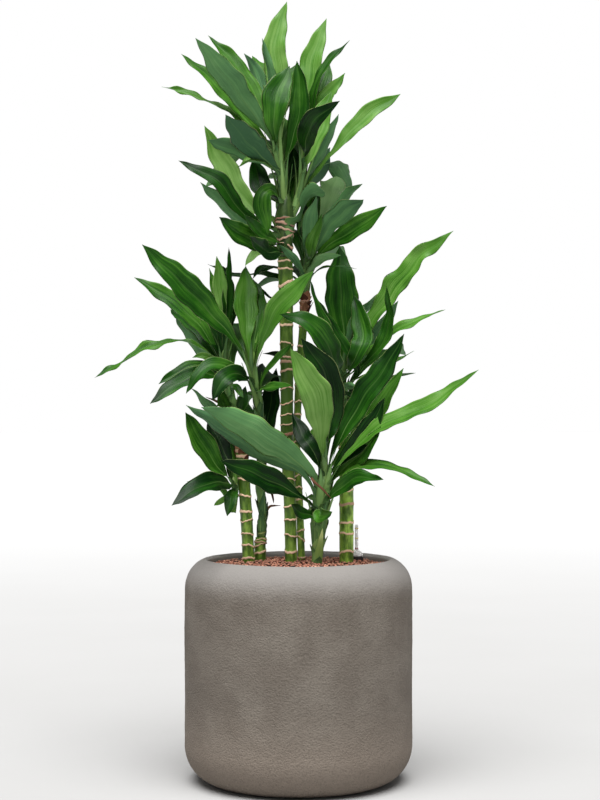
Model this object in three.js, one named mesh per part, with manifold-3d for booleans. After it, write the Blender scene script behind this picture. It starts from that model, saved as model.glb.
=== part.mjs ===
// Potted dracaena: a round cement planter filled with clay granules, five ringed canes cut at
// different heights, the leafy stems that grow from them, and a water-level gauge.
// Millimetres, +Z up. The origin is the centre of the planter's flat underside; the front is -Y.

import * as THREE from 'three';
import { mergeVertices } from 'three/addons/utils/BufferGeometryUtils.js';
import Module from 'manifold-3d';

const wasm = await Module();
wasm.setup();

// Planter
const POT_HEIGHT = 420;
const POT_RADIUS = 215;
const SHOULDER = { across: 50, down: 57, turn: 84 };
const HEEL = { across: 62, up: 70 };
const MOUTH_RADIUS = 170.5;
const LIP_ROUND = 3;
const LIP_DEPTH = 21;
const UNDERCUT = { across: 8, down: 6 };
const WALL = 12;
const POT_SIDES = 32;
const OUTER_ARC_STEPS = 5;
const INNER_ARC_STEPS = 3;

// Clay granules
const GRANULE_LEVEL = 405;
const GRANULE_MOUND = 5;
const GRANULE_RELIEF = 1.6;
const GRANULE_RINGS = 7;
const GRANULE_SEED = 7;

// Canes and stems
const GAP = 0.3;
const CANE_SIDES = 8;
const SCAR_RISE = 0.9;
const SCAR_HALF_HEIGHT = 1.8;
const STEM_SIDES = 8;

// Leaf blades: shares of the full width, and angles in degrees
const ROOT_SHARE = 0.2;
const TIP_SHARE = 0.03;
const WIDEST = 0.56;
const BULGE = 0.35;
const TIP_POWER = 2.3;
const ROOT_FOLD = 48;
const BLADE_FOLD = 15;
const FOLD_END = 0.4;
const TWIST_END = 0.35;
const UPPER_SIDE = { inward: 0.8, up: 0.6 };
const MARGIN_WAVE = 1.6;
const WAVE_LENGTH = 105;
const WAVE_SPAN = { start: 0.1, full: 0.4, fading: 0.9 };
const OTHER_MARGIN_LEAD = 2;
const MIDRIB_HALF = 0.85;
const STATION_STEP = 46;
const BACK_STATION_STEP = 60;
const FEWEST_STATIONS = 3;
const MOST_STATIONS = 7;
const PETIOLE = 0.05;
const LENGTH_PER_WIDTH = 4.2;
const SHORTEST = 30;
const MOST_STRETCH = 3;
const TIPWARD = 1.2;
const GOLDEN_ANGLE = 137.508;

// Hidden leaves, from the uppermost to the lowest of a stem: angles in degrees, heights in mm
const BACK_RISE = { top: 76, fall: 62, play: 9 };
const BACK_DROOP = { least: 14, most: 30, more: 34 };
const BACK_ASIDE = 30;
const BACK_ROLL = 40;
const BACK_ROOTS = { top: 6, fall: 78 };
const BACK_LENGTH = { top: 0.82, gain: 0.18, least: 0.86, most: 1.14 };
const BACK_WIDTH = { least: 0.8, most: 1.05 };

// Water-level gauge
const GAUGE = { x: 112, depth: 60, low: 62 };
const SHAFT = { radius: 7.5, bore: 5.5, top: 398 };
const FOOT = { radius: 13.2, bore: 2.4, top: 414 };
const DOME = { radius: 12.4, wall: 1.1, height: 13 };
const TUBE = { radius: 3.3, wall: 1.1, top: 478 };
const FLOAT = { radius: 4.8, top: 110, rod: 1, tipRadius: 1.9, tipLow: 421, tipHigh: 427 };

// Canes and leaves are laid out as they line up from a standing point in front of the plant.
// x and z are read on the upright plane through the planter's axis, and the depth y says how far
// behind that plane (or, if negative, in front of it) the point lies on the same line of sight.
const EYE = new THREE.Vector3(0, -3214, 690);

function place(x, z, depth) {
  const reach = (depth - EYE.y) / -EYE.y;
  return new THREE.Vector3(x * reach, depth, EYE.z + (z - EYE.z) * reach);
}

const radians = THREE.MathUtils.degToRad;

function smooth(low, high, value) {
  return THREE.MathUtils.smoothstep(value, low, high);
}

// A small repeatable source of random numbers from 0 to 1.
function randomFrom(seed) {
  let state = seed >>> 0;
  return () => {
    state = (Math.imul(state, 1664525) + 1013904223) >>> 0;
    return state / 4294967296;
  };
}

// ---------------------------------------------------------------- solids

function solidOf(geometry) {
  const bare = geometry.clone();
  bare.deleteAttribute('normal');
  bare.deleteAttribute('uv');
  const merged = mergeVertices(bare, 1e-4);
  return new wasm.Manifold(new wasm.Mesh({
    numProp: 3,
    vertProperties: new Float32Array(merged.attributes.position.array),
    triVerts: new Uint32Array(merged.index.array),
  }));
}

function geometryOf(solid) {
  const mesh = solid.getMesh();
  const geometry = new THREE.BufferGeometry();
  geometry.setAttribute('position', new THREE.BufferAttribute(mesh.vertProperties, 3));
  geometry.setIndex(new THREE.BufferAttribute(mesh.triVerts, 1));
  return geometry;
}

// The largest body of a solid: trimming a leafy stem can free a scrap of leaf, which is dropped.
function largestBody(solid) {
  return solid.decompose().reduce((best, body) => (body.volume() > best.volume() ? body : best));
}

function union(solids) {
  return solids.reduce((whole, solid) => whole.add(solid));
}

// A closed skin over a row of rings of equal point count, each ring anticlockwise seen from its
// front end. crossed lists the sides whose squares are split along the other diagonal.
function skin(rings, crossed = []) {
  const count = rings[0].length;
  const positions = rings.flat().flatMap((point) => point.toArray());
  const index = [];
  for (let ring = 0; ring + 1 < rings.length; ring += 1) {
    for (let side = 0; side < count; side += 1) {
      const next = (side + 1) % count;
      const a = ring * count + side;
      const b = ring * count + next;
      const c = a + count;
      const d = b + count;
      if (crossed.includes(side)) {
        index.push(a, b, c, b, d, c);
      } else {
        index.push(a, b, d, a, d, c);
      }
    }
  }
  const last = (rings.length - 1) * count;
  for (let side = 1; side + 1 < count; side += 1) {
    index.push(0, side + 1, side);
    index.push(last, last + side, last + side + 1);
  }
  const geometry = new THREE.BufferGeometry();
  geometry.setAttribute('position', new THREE.Float32BufferAttribute(positions, 3));
  geometry.setIndex(index);
  return geometry;
}

function levelRing(centre, radius, sides) {
  return Array.from({ length: sides }, (_, side) => {
    const angle = (side / sides) * 2 * Math.PI;
    return new THREE.Vector3(
      centre.x + radius * Math.cos(angle),
      centre.y + radius * Math.sin(angle),
      centre.z,
    );
  });
}

// Straight interpolation in a list of [x, z, depth, radius] that rises in z.
function axisAt(points, z) {
  let upper = points.findIndex((point) => point[1] >= z);
  if (upper < 0) {
    upper = points.length - 1;
  }
  upper = Math.max(upper, 1);
  const low = points[upper - 1];
  const high = points[upper];
  const share = (z - low[1]) / (high[1] - low[1]);
  return low.map((value, k) => value + (high[k] - value) * share);
}

// ---------------------------------------------------------------- planter and granules

// The hollow of the planter from the centre of its floor up to the lip, drawn in by inset.
function hollowProfile(inset) {
  const side = POT_RADIUS - WALL - inset;
  const floor = WALL + inset;
  const corner = { across: HEEL.across - WALL, up: HEEL.up - WALL };
  const points = [new THREE.Vector2(0, floor)];
  for (let step = 0; step <= INNER_ARC_STEPS; step += 1) {
    const angle = (step / INNER_ARC_STEPS) * (Math.PI / 2);
    points.push(new THREE.Vector2(
      side - corner.across + corner.across * Math.sin(angle),
      floor + corner.up - corner.up * Math.cos(angle),
    ));
  }
  const neck = MOUTH_RADIUS - inset;
  const neckLow = POT_HEIGHT - LIP_DEPTH - inset;
  points.push(new THREE.Vector2(side, POT_HEIGHT - WALL - SHOULDER.down));
  points.push(new THREE.Vector2(neck + UNDERCUT.across, neckLow - UNDERCUT.down));
  points.push(new THREE.Vector2(neck, neckLow));
  return points;
}

function planterSolid() {
  const outline = [new THREE.Vector2(0, 0)];
  for (let step = 0; step <= OUTER_ARC_STEPS; step += 1) {
    const angle = (step / OUTER_ARC_STEPS) * (Math.PI / 2);
    outline.push(new THREE.Vector2(
      POT_RADIUS - HEEL.across + HEEL.across * Math.sin(angle),
      HEEL.up - HEEL.up * Math.cos(angle),
    ));
  }
  for (let step = 0; step <= OUTER_ARC_STEPS; step += 1) {
    const angle = (step / OUTER_ARC_STEPS) * radians(SHOULDER.turn);
    outline.push(new THREE.Vector2(
      POT_RADIUS - SHOULDER.across + SHOULDER.across * Math.cos(angle),
      POT_HEIGHT - SHOULDER.down + SHOULDER.down * Math.sin(angle),
    ));
  }
  outline.push(new THREE.Vector2(MOUTH_RADIUS, POT_HEIGHT - LIP_ROUND));
  outline.push(...hollowProfile(0).reverse());
  return solidOf(upright(new THREE.LatheGeometry(outline, POT_SIDES)));
}

// A lathe turns about Y; this stands its axis on Z.
function upright(geometry) {
  return geometry.rotateX(Math.PI / 2);
}

// The bed of granules fills the hollow; its top is mounded and uneven, and level at the edge.
function granuleSolid() {
  const outline = hollowProfile(GAP);
  const edge = outline[outline.length - 1].x;
  for (let ring = GRANULE_RINGS; ring >= 0; ring -= 1) {
    const radius = edge * (ring / GRANULE_RINGS);
    const rise = GRANULE_MOUND * (1 - (ring / GRANULE_RINGS) ** 2);
    outline.push(new THREE.Vector2(radius, GRANULE_LEVEL + rise));
  }
  const bed = mergeVertices(bareOf(upright(new THREE.LatheGeometry(outline, POT_SIDES))), 1e-4);
  const random = randomFrom(GRANULE_SEED);
  const spots = bed.attributes.position;
  for (let k = 0; k < spots.count; k += 1) {
    const relief = (random() - 0.5) * 2 * GRANULE_RELIEF;
    const insideEdge = spots.getZ(k) > GRANULE_LEVEL + 0.01;
    if (insideEdge) {
      spots.setZ(k, spots.getZ(k) + relief);
    }
  }
  return solidOf(bed);
}

function bareOf(geometry) {
  geometry.deleteAttribute('normal');
  geometry.deleteAttribute('uv');
  return geometry;
}

// ---------------------------------------------------------------- canes

// points are [x, z, depth, radius] upwards; scars are the heights of the leaf scars.
const CANES = {
  cane_front_left: {
    points: [[-93, 330, 26, 11.5], [-95, 412, 26, 11.5], [-96, 450, 26, 11.5], [-99, 500, 25, 11.5],
      [-102, 545, 24, 11.5], [-105, 590, 22, 11.5], [-108, 630, 20, 12]],
    scars: [420, 443, 465, 490, 507, 537, 568, 612],
  },
  cane_rear_left: {
    points: [[-72, 330, 52, 11], [-73, 440, 52, 11], [-72, 449, 52, 13], [-71, 458, 52, 12]],
    scars: [430],
  },
  cane_main: {
    points: [[-13, 300, 0, 11], [-14, 410, 0, 11.3], [-15, 480, 0, 11.3], [-17, 540, 0, 11.5],
      [-20, 600, 0, 12], [-22, 660, 0, 12], [-22, 760, 0, 12], [-23, 860, 0, 12.5],
      [-24, 930, 0, 13.5], [-25, 988, 0, 14]],
    scars: [431, 462, 492, 517, 547, 568, 620, 653, 690, 712, 740, 774, 798, 825, 860, 905, 938, 966],
  },
  cane_thin: {
    points: [[7, 330, 28, 7], [6, 410, 28, 7], [3, 500, 28, 7], [-4, 640, 30, 7],
      [1, 760, 32, 7.2], [10, 870, 33, 8], [13, 912, 34, 9]],
    scars: [420, 456, 471, 530, 575, 690, 745, 820, 893],
  },
  cane_right: {
    points: [[90, 330, 10, 13.2], [91, 410, 10, 13.2], [91, 480, 10, 13.5], [91, 545, 10, 13.2],
      [90, 600, 11, 13], [88, 650, 12, 12.5]],
    scars: [431, 466, 486, 521, 548, 590, 628],
  },
};

// A cane with a raised ring at each scar, grown by extra all round and at both ends.
function caneSolid(cane, extra = 0) {
  const low = cane.points[0][1];
  const high = cane.points[cane.points.length - 1][1];
  const nearScar = (z) => cane.scars.some((scar) => Math.abs(scar - z) < 2 * SCAR_HALF_HEIGHT);
  const stations = cane.points.map((point) => ({ z: point[1], rise: 0 }))
    .filter(({ z }) => z === low || z === high || !nearScar(z));
  cane.scars.forEach((scar) => {
    stations.push({ z: scar - SCAR_HALF_HEIGHT, rise: 0 });
    stations.push({ z: scar, rise: SCAR_RISE });
    stations.push({ z: scar + SCAR_HALF_HEIGHT, rise: 0 });
  });
  stations.sort((one, other) => one.z - other.z);
  const rings = stations.map(({ z, rise }) => {
    const [x, , depth, radius] = axisAt(cane.points, z);
    const centre = place(x, z, depth);
    if (z === low) {
      centre.z -= extra;
    }
    if (z === high) {
      centre.z += extra;
    }
    return levelRing(centre, radius + rise + extra, CANE_SIDES);
  });
  return solidOf(skin(rings));
}

// ---------------------------------------------------------------- leaves

function stemSolid(points) {
  return solidOf(skin(points.map(([x, z, depth, radius]) => (
    levelRing(place(x, z, depth), radius, STEM_SIDES)
  ))));
}

function square(vector, tangent) {
  return vector.addScaledVector(tangent, -vector.dot(tangent)).normalize();
}

function turnFromTo(from, to, axis) {
  return Math.atan2(new THREE.Vector3().crossVectors(from, to).dot(axis), from.dot(to));
}

// Share of the full width at u, which runs from the root (0) to the tip (1). The blade stays
// narrow up to the end of its petiole.
function widthShare(u, petiole) {
  const widest = Math.max(WIDEST, petiole + 0.3);
  if (u > widest) {
    const beyond = (u - widest) / (1 - widest);
    return Math.max(1 - beyond ** TIP_POWER, TIP_SHARE);
  }
  const before = Math.max(u - petiole, 0) / (widest - petiole);
  return ROOT_SHARE + (1 - ROOT_SHARE) * ((1 + BULGE) * before - BULGE * before ** 3);
}

// One blade along its curve: a shallow channel, deeper at the root, with waved margins.
// lean turns the upper side from facing the standing point (0) over upwards (90) to showing the
// underside (180). Where it is null the upper side is up and towards the stem, turned by roll.
function bladeRings(curve, width, { lean = null, roll = 0, wave, phase, petiole = PETIOLE, step }) {
  const length = curve.getLength();
  const count = THREE.MathUtils.clamp(Math.round(length / step), FEWEST_STATIONS, MOST_STATIONS);
  const root = curve.getPointAt(0);
  const tip = curve.getPointAt(1);
  const outward = new THREE.Vector3(tip.x - root.x, tip.y - root.y, 0).normalize();
  const turn = tip.x < root.x ? 1 : -1;
  let twist = 0;
  const rings = [];
  for (let station = 0; station <= count; station += 1) {
    const u = 1 - (1 - station / count) ** TIPWARD;
    const centre = curve.getPointAt(u);
    const tangent = curve.getTangentAt(u);
    const upper = outward.clone().multiplyScalar(-UPPER_SIDE.inward).setZ(UPPER_SIDE.up);
    const normal = square(upper, tangent);
    if (lean !== null) {
      const sight = square(EYE.clone().sub(centre), tangent);
      const aside = new THREE.Vector3().crossVectors(tangent, sight).multiplyScalar(turn);
      const wanted = sight.multiplyScalar(Math.cos(radians(lean)))
        .addScaledVector(aside, Math.sin(radians(lean)));
      const angle = turnFromTo(normal, wanted, tangent);
      twist = angle + 2 * Math.PI * Math.round((twist - angle) / (2 * Math.PI));
      normal.applyAxisAngle(tangent, twist * smooth(0, TWIST_END, u));
    } else {
      normal.applyAxisAngle(tangent, radians(roll) * smooth(0, TWIST_END, u));
    }
    const side = new THREE.Vector3().crossVectors(tangent, normal);
    const half = (width / 2) * widthShare(u, petiole);
    const fold = radians(BLADE_FOLD + (ROOT_FOLD - BLADE_FOLD) * (1 - smooth(0, FOLD_END, u)));
    const waving = smooth(WAVE_SPAN.start, WAVE_SPAN.full, u) * (1 - smooth(WAVE_SPAN.fading, 1, u));
    const swing = MARGIN_WAVE * wave * waving;
    const cycle = 2 * Math.PI * (u * length / WAVE_LENGTH) + phase;
    const leftLift = half * Math.sin(fold) + swing * Math.sin(cycle);
    const rightLift = half * Math.sin(fold) + swing * Math.sin(cycle + OTHER_MARGIN_LEAD);
    const reach = half * Math.cos(fold);
    const at = (across, lift) => centre.clone().addScaledVector(side, across)
      .addScaledVector(normal, lift);
    rings.push([
      at(-reach, leftLift),
      at(0, MIDRIB_HALF),
      at(reach, rightLift),
      at(0, -MIDRIB_HALF),
    ]);
  }
  return rings;
}

// The squares under the midrib are split like those above it, so the two faces never cross.
const UNDERSIDE_SQUARES = [2, 3];

function bladeSolid(curve, width, growth) {
  return solidOf(skin(bladeRings(curve, width, growth), UNDERSIDE_SQUARES));
}

function curveThrough(points) {
  return new THREE.CatmullRomCurve3(points, false, 'catmullrom', 0.5);
}

// A blade that looks short for its width runs towards or away from the standing point, so its
// depths are stretched until it is as long as a blade of that width grows.
function depthStretch(x, z, width, points) {
  const [tipX, tipZ, tipBehind] = points[points.length - 1];
  const grown = LENGTH_PER_WIDTH * width + SHORTEST;
  const missing = grown ** 2 - (tipX - x) ** 2 - (tipZ - z) ** 2;
  if (missing <= tipBehind ** 2) {
    return 1;
  }
  return Math.min(Math.sqrt(missing) / Math.max(Math.abs(tipBehind), 1), MOST_STRETCH);
}

// A leaf of the table: the height of its root on the stem, its width, lean, tone and wave, the
// points that it runs through outwards, each with its depth behind the root, and the share of its
// length that is a narrow petiole.
function tableLeaf(stem, [from, width, lean, , wave, points, petiole], order) {
  const [x, , depth] = axisAt(stem, from);
  const stretch = depthStretch(x, from, width, points);
  const path = [place(x, from, depth)];
  points.forEach(([px, pz, behind]) => path.push(place(px, pz, depth + behind * stretch)));
  const phase = radians(order * GOLDEN_ANGLE);
  return bladeSolid(curveThrough(path), width, { lean, wave, phase, petiole, step: STATION_STEP });
}

// Leaves round the hidden side of a stem, one every golden angle within the spread: the upper ones
// steep and short, the lower ones spreading, each bent down and a little aside as it grows. fall is
// how much less steeply the lowest one rises than the uppermost.
function backLeaves(stem, { count, middle, spread, length, width, seed, fall = BACK_RISE.fall }) {
  const random = randomFrom(seed);
  const within = (low, high) => low + (high - low) * random();
  const top = stem[stem.length - 1][1];
  const solids = [];
  for (let k = 0; k < count; k += 1) {
    const share = k / (count - 1);
    const heading = middle + spread * (((k * GOLDEN_ANGLE) % 360) / 180 - 1);
    const rise = BACK_RISE.top - fall * share + within(-BACK_RISE.play, BACK_RISE.play);
    const lower = share * (fall / BACK_RISE.fall);
    const droop = within(BACK_DROOP.least, BACK_DROOP.most) + BACK_DROOP.more * lower;
    const aside = within(-BACK_ASIDE, BACK_ASIDE);
    const grown = length * (BACK_LENGTH.top + BACK_LENGTH.gain * share);
    const long = grown * within(BACK_LENGTH.least, BACK_LENGTH.most);
    const from = top - BACK_ROOTS.top - BACK_ROOTS.fall * share;
    const [x, , depth] = axisAt(stem, from);
    const root = place(x, from, depth);
    const middlePoint = root.clone().add(reachOut(long / 2, heading, rise));
    const tip = middlePoint.clone().add(reachOut(long / 2, heading + aside, rise - droop));
    const wide = width * within(BACK_WIDTH.least, BACK_WIDTH.most);
    const roll = within(-BACK_ROLL, BACK_ROLL);
    const growth = { roll, wave: 1, phase: radians(k * GOLDEN_ANGLE), step: BACK_STATION_STEP };
    solids.push(bladeSolid(curveThrough([root, middlePoint, tip]), wide, growth));
  }
  return solids;
}

// The step over a distance in a compass heading (degrees from +X towards +Y) at an angle of rise.
function reachOut(distance, heading, rise) {
  const level = distance * Math.cos(radians(rise));
  return new THREE.Vector3(
    level * Math.cos(radians(heading)),
    level * Math.sin(radians(heading)),
    distance * Math.sin(radians(rise)),
  );
}

// ---------------------------------------------------------------- leafy stems

// core: the stem, [x, z, depth, radius] upwards. leaves: see tableLeaf. back: see backLeaves.
// Tones run from 0, dark and old, to 1, pale and young; below 0 is dry.
const LEAFY_STEMS = {
  crown_main: {
    cores: [
      [[-25, 988, 0, 13.6], [-26, 1020, 0, 15], [-27, 1043, 0, 18.5], [-27, 1066, 0, 18.5],
        [-26, 1085, 0, 15], [-24, 1103, 0, 9]],
      [[-28, 1066, -2, 8.5], [-29, 1100, -4, 8], [-32, 1140, -6, 8], [-37, 1180, -6, 7.5],
        [-41, 1217, -6, 5]],
      [[-14, 1062, 3, 8.5], [-3, 1090, 6, 8], [6, 1130, 8, 7.5], [12, 1170, 8, 7], [14, 1202, 8, 5]],
    ],
    leaves: [
      // on the scarred lower stem
      [1045, 46, 15, 0.95, 1, [[-95, 1088, 12], [-138, 1155, 25], [-178, 1237, 38]]],
      [1030, 36, 30, 0.15, 1, [[-105, 1070, -18], [-150, 1130, -28], [-227, 1171, -30]]],
      [1022, 34, 140, 0.3, 1, [[-95, 1045, -8], [-140, 1085, -10], [-186, 1130, -12]]],
      [1010, 46, 25, 0.3, 1, [[-85, 1020, -22], [-115, 1035, -35], [-150, 1064, -45]]],
      [1012, 30, 40, 0.25, 1, [[-72, 1035, -32], [-103, 1068, -50]]],
      [998, 38, 35, 0.1, 1, [[-62, 1000, -35], [-92, 1027, -60]]],
      [1003, 20, 40, 0.9, 1, [[-75, 998, -5], [-101, 972, -10]]],
      [1050, 40, 140, 0.4, 1, [[5, 1064, -10], [9, 1090, -14], [26, 1110, -24], [49, 1112, -38]], 0.4],
    ],
    leavesLeft: [
      [1195, 48, 12, 0.75, 1, [[-38, 1300, 24], [-44, 1395, 48], [-22, 1472, 68]]],
      [1200, 22, 150, 0.3, 1, [[-47, 1310, 10], [-69, 1403, 12]]],
      [1165, 54, 10, 0.8, 1, [[-46, 1240, -10], [-42, 1290, -8], [-17, 1350, 0]]],
      [1150, 40, 15, 0.3, 1, [[-14, 1200, 0], [3, 1280, 2], [-3, 1360, 12]]],
      [1190, 52, 155, 0.3, 1, [[-100, 1280, -34], [-150, 1345, -69], [-195, 1403, -89]]],
      [1200, 36, 35, 0.7, 1, [[-80, 1290, 16], [-118, 1352, 28], [-171, 1408, 36]]],
      [1180, 34, 40, 0.5, 1, [[-100, 1250, -9], [-155, 1315, -14], [-222, 1373, -19]]],
      [1170, 20, 60, 0.6, 2, [[-90, 1237, -4], [-150, 1273, -6], [-205, 1298, -4], [-259, 1311, 1]]],
      [1200, 38, 150, 0.25, 1, [[-66, 1270, 21], [-78, 1330, 36], [-103, 1374, 51]]],
      [1145, 54, 160, 0, 1, [[-75, 1185, -29], [-105, 1215, -54], [-138, 1258, -74]]],
      [1150, 40, 150, 0.3, 1, [[-95, 1183, -44], [-130, 1197, -69], [-171, 1210, -94]]],
      [1145, 24, 60, 0.7, 1, [[-60, 1168, -14], [-86, 1172, -24], [-118, 1158, -34]]],
      [1088, 36, 10, 0.7, 1, [[-52, 1117, -12], [-68, 1100, -18], [-58, 1030, -20]], 0.2],
      [1085, 42, 15, 0.15, 1, [[-68, 1118, 10], [-86, 1174, 16]]],
      [1110, 44, 15, 0.05, 1, [[-16, 1160, 18], [-2, 1225, 28]]],
    ],
    leavesRight: [
      [1170, 46, 15, 0.75, 1, [[16, 1290, 17], [28, 1370, 37], [53, 1440, 54]]],
      [1175, 24, 50, 0.3, 1, [[30, 1300, 2], [55, 1355, 6], [97, 1399, 8]]],
      [1165, 34, 30, 0.6, 1, [[38, 1262, 4], [60, 1300, 10], [88, 1337, 12]]],
      [1160, 44, 25, 0.1, 1, [[18, 1225, -33], [40, 1256, -48], [78, 1284, -56]]],
      [1130, 42, 20, 0.9, 1, [[24, 1190, -10], [42, 1245, -6], [62, 1302, 0]]],
      [1095, 36, 25, 0.85, 1, [[30, 1143, 4], [78, 1203, 12], [130, 1258, 20], [193, 1297, 22]], 0.4],
      [1120, 26, 140, 0.2, 1, [[44, 1185, 8], [76, 1259, 16]]],
      [1105, 36, 150, 0, 1, [[38, 1148, 16], [60, 1196, 24]]],
    ],
    back: [
      { core: 1, count: 7, middle: 112, spread: 46, length: 270, width: 54, seed: 36 },
      { core: 2, count: 5, middle: 80, spread: 34, length: 255, width: 50, seed: 19 },
    ],
  },
  leafy_stem_thin_cane: {
    cores: [
      [[13, 912, 34, 8], [14, 935, 35, 8.5], [17, 965, 38, 9], [20, 992, 42, 6]],
    ],
    leaves: [
      [965, 42, 25, 0.35, 1, [[60, 1013, -6], [110, 1043, -13], [167, 1085, -23]]],
      [975, 46, 155, 0.3, 1, [[55, 1040, -23], [88, 1075, -43], [123, 1097, -63]]],
      [980, 36, 150, 0.45, 1, [[55, 1060, -3], [88, 1105, -8], [121, 1127, -18]]],
      [970, 48, 165, 0.9, 1, [[40, 1040, -26], [58, 1102, -48], [66, 1122, -84], [72, 1141, -116]], 0.45],
      [968, 24, 20, 0.5, 1, [[26, 1015, -24], [44, 1070, -32]]],
      [975, 34, 150, 0.3, 1, [[22, 1040, -30], [34, 1104, -48]]],
      [970, 26, 20, 0.05, 1, [[10, 1030, 4], [12, 1092, 18]]],
      [958, 26, 140, 0.6, 1, [[45, 984, -12], [80, 992, -16]]],
      [945, 14, 82, 0.3, 1, [[45, 968, -10], [75, 971, -8], [110, 966, -6]]],
      [942, 18, 150, 0.3, 1, [[-10, 985, -60], [-38, 1012, -74]]],
      [930, 16, 60, 0.15, 2, [[-25, 960, 16], [-62, 970, 18], [-88, 946, 16]]],
      [925, 18, 60, 0.15, 2, [[-30, 948, 24], [-80, 956, 30], [-125, 955, 32], [-172, 975, 32]]],
      [916, 12, 50, 0.05, 1, [[-40, 905, 22], [-86, 940, 28]]],
    ],
    back: [
      { core: 0, count: 6, middle: 94, spread: 38, length: 240, width: 46, seed: 13 },
    ],
  },
  leafy_stem_rear_left: {
    cores: [
      [[-71, 458, 52, 10.5], [-67, 500, 49, 9], [-72, 545, 43, 9], [-70, 600, 32, 8.5],
        [-70, 660, 18, 8.5], [-76, 710, 2, 8.5], [-84, 750, -12, 8.5], [-90, 792, -22, 5.5]],
    ],
    leaves: [
      [770, 58, 22, 0.25, 1, [[-128, 838, -18], [-170, 885, -34], [-215, 932, -48], [-296, 1012, -62]]],
      [775, 50, 12, 0.55, 1, [[-98, 840, 2], [-100, 900, 12], [-100, 971, 24]]],
      [765, 44, 20, 0.7, 1, [[-62, 845, -31], [-35, 895, -44], [28, 962, -46]]],
      [755, 30, 35, 0.35, 1, [[-112, 770, -26], [-148, 785, -46], [-185, 772, -62], [-213, 730, -70]]],
      [748, 38, 15, 0.4, 1, [[-118, 768, -16], [-140, 758, -26], [-163, 717, -30]]],
      [735, 20, 30, 0.5, 1, [[-58, 742, -26], [-35, 744, -38], [-13, 745, -48]], 0.3],
      [725, 16, 40, 0.4, 1, [[-66, 765, -16], [-52, 783, -24], [-35, 800, -28], [-12, 826, -30]]],
      [590, 42, 20, 0, 1, [[-58, 680, 38], [-42, 778, 56]]],
      [500, 5, 60, -1, 1, [[-50, 518, 44], [-33, 518, 42]]],
      [555, 8, 30, -1, 1, [[-52, 545, 40], [-47, 522, 40]]],
    ],
    back: [
      { core: 0, count: 5, middle: 96, spread: 26, length: 255, width: 50, seed: 120 },
    ],
  },
  leafy_stem_front_left: {
    cores: [
      [[-108, 630, 20, 10], [-118, 680, 18, 9], [-130, 730, 17, 9], [-140, 775, 18, 8],
        [-142, 806, 20, 5]],
    ],
    leaves: [
      [775, 38, 30, 0.4, 1, [[-180, 848, 3], [-235, 903, 5], [-311, 950, 7]]],
      [785, 24, 60, 0.5, 2.2, [[-205, 826, -17], [-265, 825, -23], [-320, 798, -31], [-386, 760, -39]]],
      [770, 44, 150, 0.3, 1, [[-180, 813, 17], [-208, 848, 27], [-234, 880, 35]]],
      [780, 44, 12, 0.1, 1, [[-158, 835, 3], [-182, 886, 4]]],
      [790, 34, 12, 0.9, 1, [[-138, 840, 19], [-145, 910, 31], [-155, 990, 43]]],
      [795, 16, 30, 0.2, 1, [[-132, 860, 9], [-131, 930, 17], [-132, 1007, 25]]],
      [790, 20, 30, 0.6, 1, [[-152, 890, 43], [-169, 968, 57]]],
      [765, 26, 30, 0.3, 1, [[-195, 784, -13], [-265, 748, -21]]],
      [755, 36, 30, 0.25, 1, [[-185, 768, -35], [-235, 745, -49], [-281, 711, -59]]],
      [770, 16, 40, 0.6, 1, [[-175, 800, -7], [-201, 798, -9]]],
      [660, 22, 140, 0.3, 1, [[-160, 698, -5], [-203, 740, -13]]],
      [700, 14, 30, 0.5, 1, [[-135, 712, -11], [-156, 706, -19]]],
      [725, 16, 40, 0.5, 1, [[-122, 742, -15], [-104, 722, -23]]],
      [690, 9, 40, -1, 1, [[-150, 712, -7], [-176, 724, -13]]],
      [690, 24, 25, 0.35, 1, [[-142, 712, -17], [-152, 746, -27]]],
      [680, 22, 30, 0.2, 1, [[-107, 706, -9], [-100, 744, -13]]],
    ],
    back: [
      { core: 0, count: 5, middle: 118, spread: 40, length: 235, width: 44, seed: 54, fall: 40 },
    ],
  },
  side_sprout_front_left: {
    cores: [
      [[-119, 536, 12, 6], [-120, 550, 11, 7.5], [-123, 566, 10, 5]],
    ],
    leaves: [
      [560, 46, 20, 0.45, 1, [[-152, 590, -11], [-185, 640, -15], [-214, 694, -17]]],
      [562, 38, 15, 0, 1, [[-136, 610, 7], [-172, 679, 19]]],
      [556, 46, 35, 0.15, 1, [[-150, 562, -33], [-190, 552, -51], [-240, 518, -65]]],
      [548, 26, 20, 0.3, 1, [[-126, 538, -15], [-135, 498, -23]]],
      [546, 14, 40, 0.6, 1, [[-138, 530, 5], [-160, 518, 9]]],
    ],
    back: [
      { core: 0, count: 3, middle: 118, spread: 34, length: 150, width: 38, seed: 82, fall: 26 },
    ],
  },
  leafy_stem_front: {
    cores: [
      [[33, 345, -28, 9.5], [35, 415, -28, 11.5], [37, 445, -31, 14.5], [40, 485, -36, 16.5],
        [44, 525, -41, 15.5], [48, 562, -46, 11], [50, 592, -49, 6]],
    ],
    leaves: [
      [532, 60, 155, 0.35, 1, [[22, 575, -24], [-5, 603, -42], [-60, 640, -77], [-120, 678, -100],
        [-184, 704, -112]]],
      [520, 38, 150, 0.2, 1, [[18, 562, -18], [-10, 590, -32], [-70, 615, -52], [-130, 655, -70],
        [-213, 708, -84]]],
      [505, 50, 20, 0.2, 1, [[-5, 540, -32], [-50, 563, -67], [-95, 583, -97], [-148, 603, -122]], 0.25],
      [575, 60, 12, 0.85, 1, [[42, 650, -20], [34, 720, -34], [-15, 815, -46]]],
      [585, 58, 12, 0.05, 1, [[60, 690, -4], [48, 770, -14], [5, 834, -20]]],
      [570, 34, 15, 0, 1, [[25, 625, -10], [5, 655, -2], [-12, 694, 4]]],
      [578, 52, 25, 0.15, 1, [[85, 655, -10], [125, 725, -16], [165, 780, -20], [200, 843, -22]]],
      [535, 38, 40, 0.7, 1, [[78, 594, -18], [105, 625, -32], [160, 672, -47], [245, 708, -62],
        [341, 775, -72]]],
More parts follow.
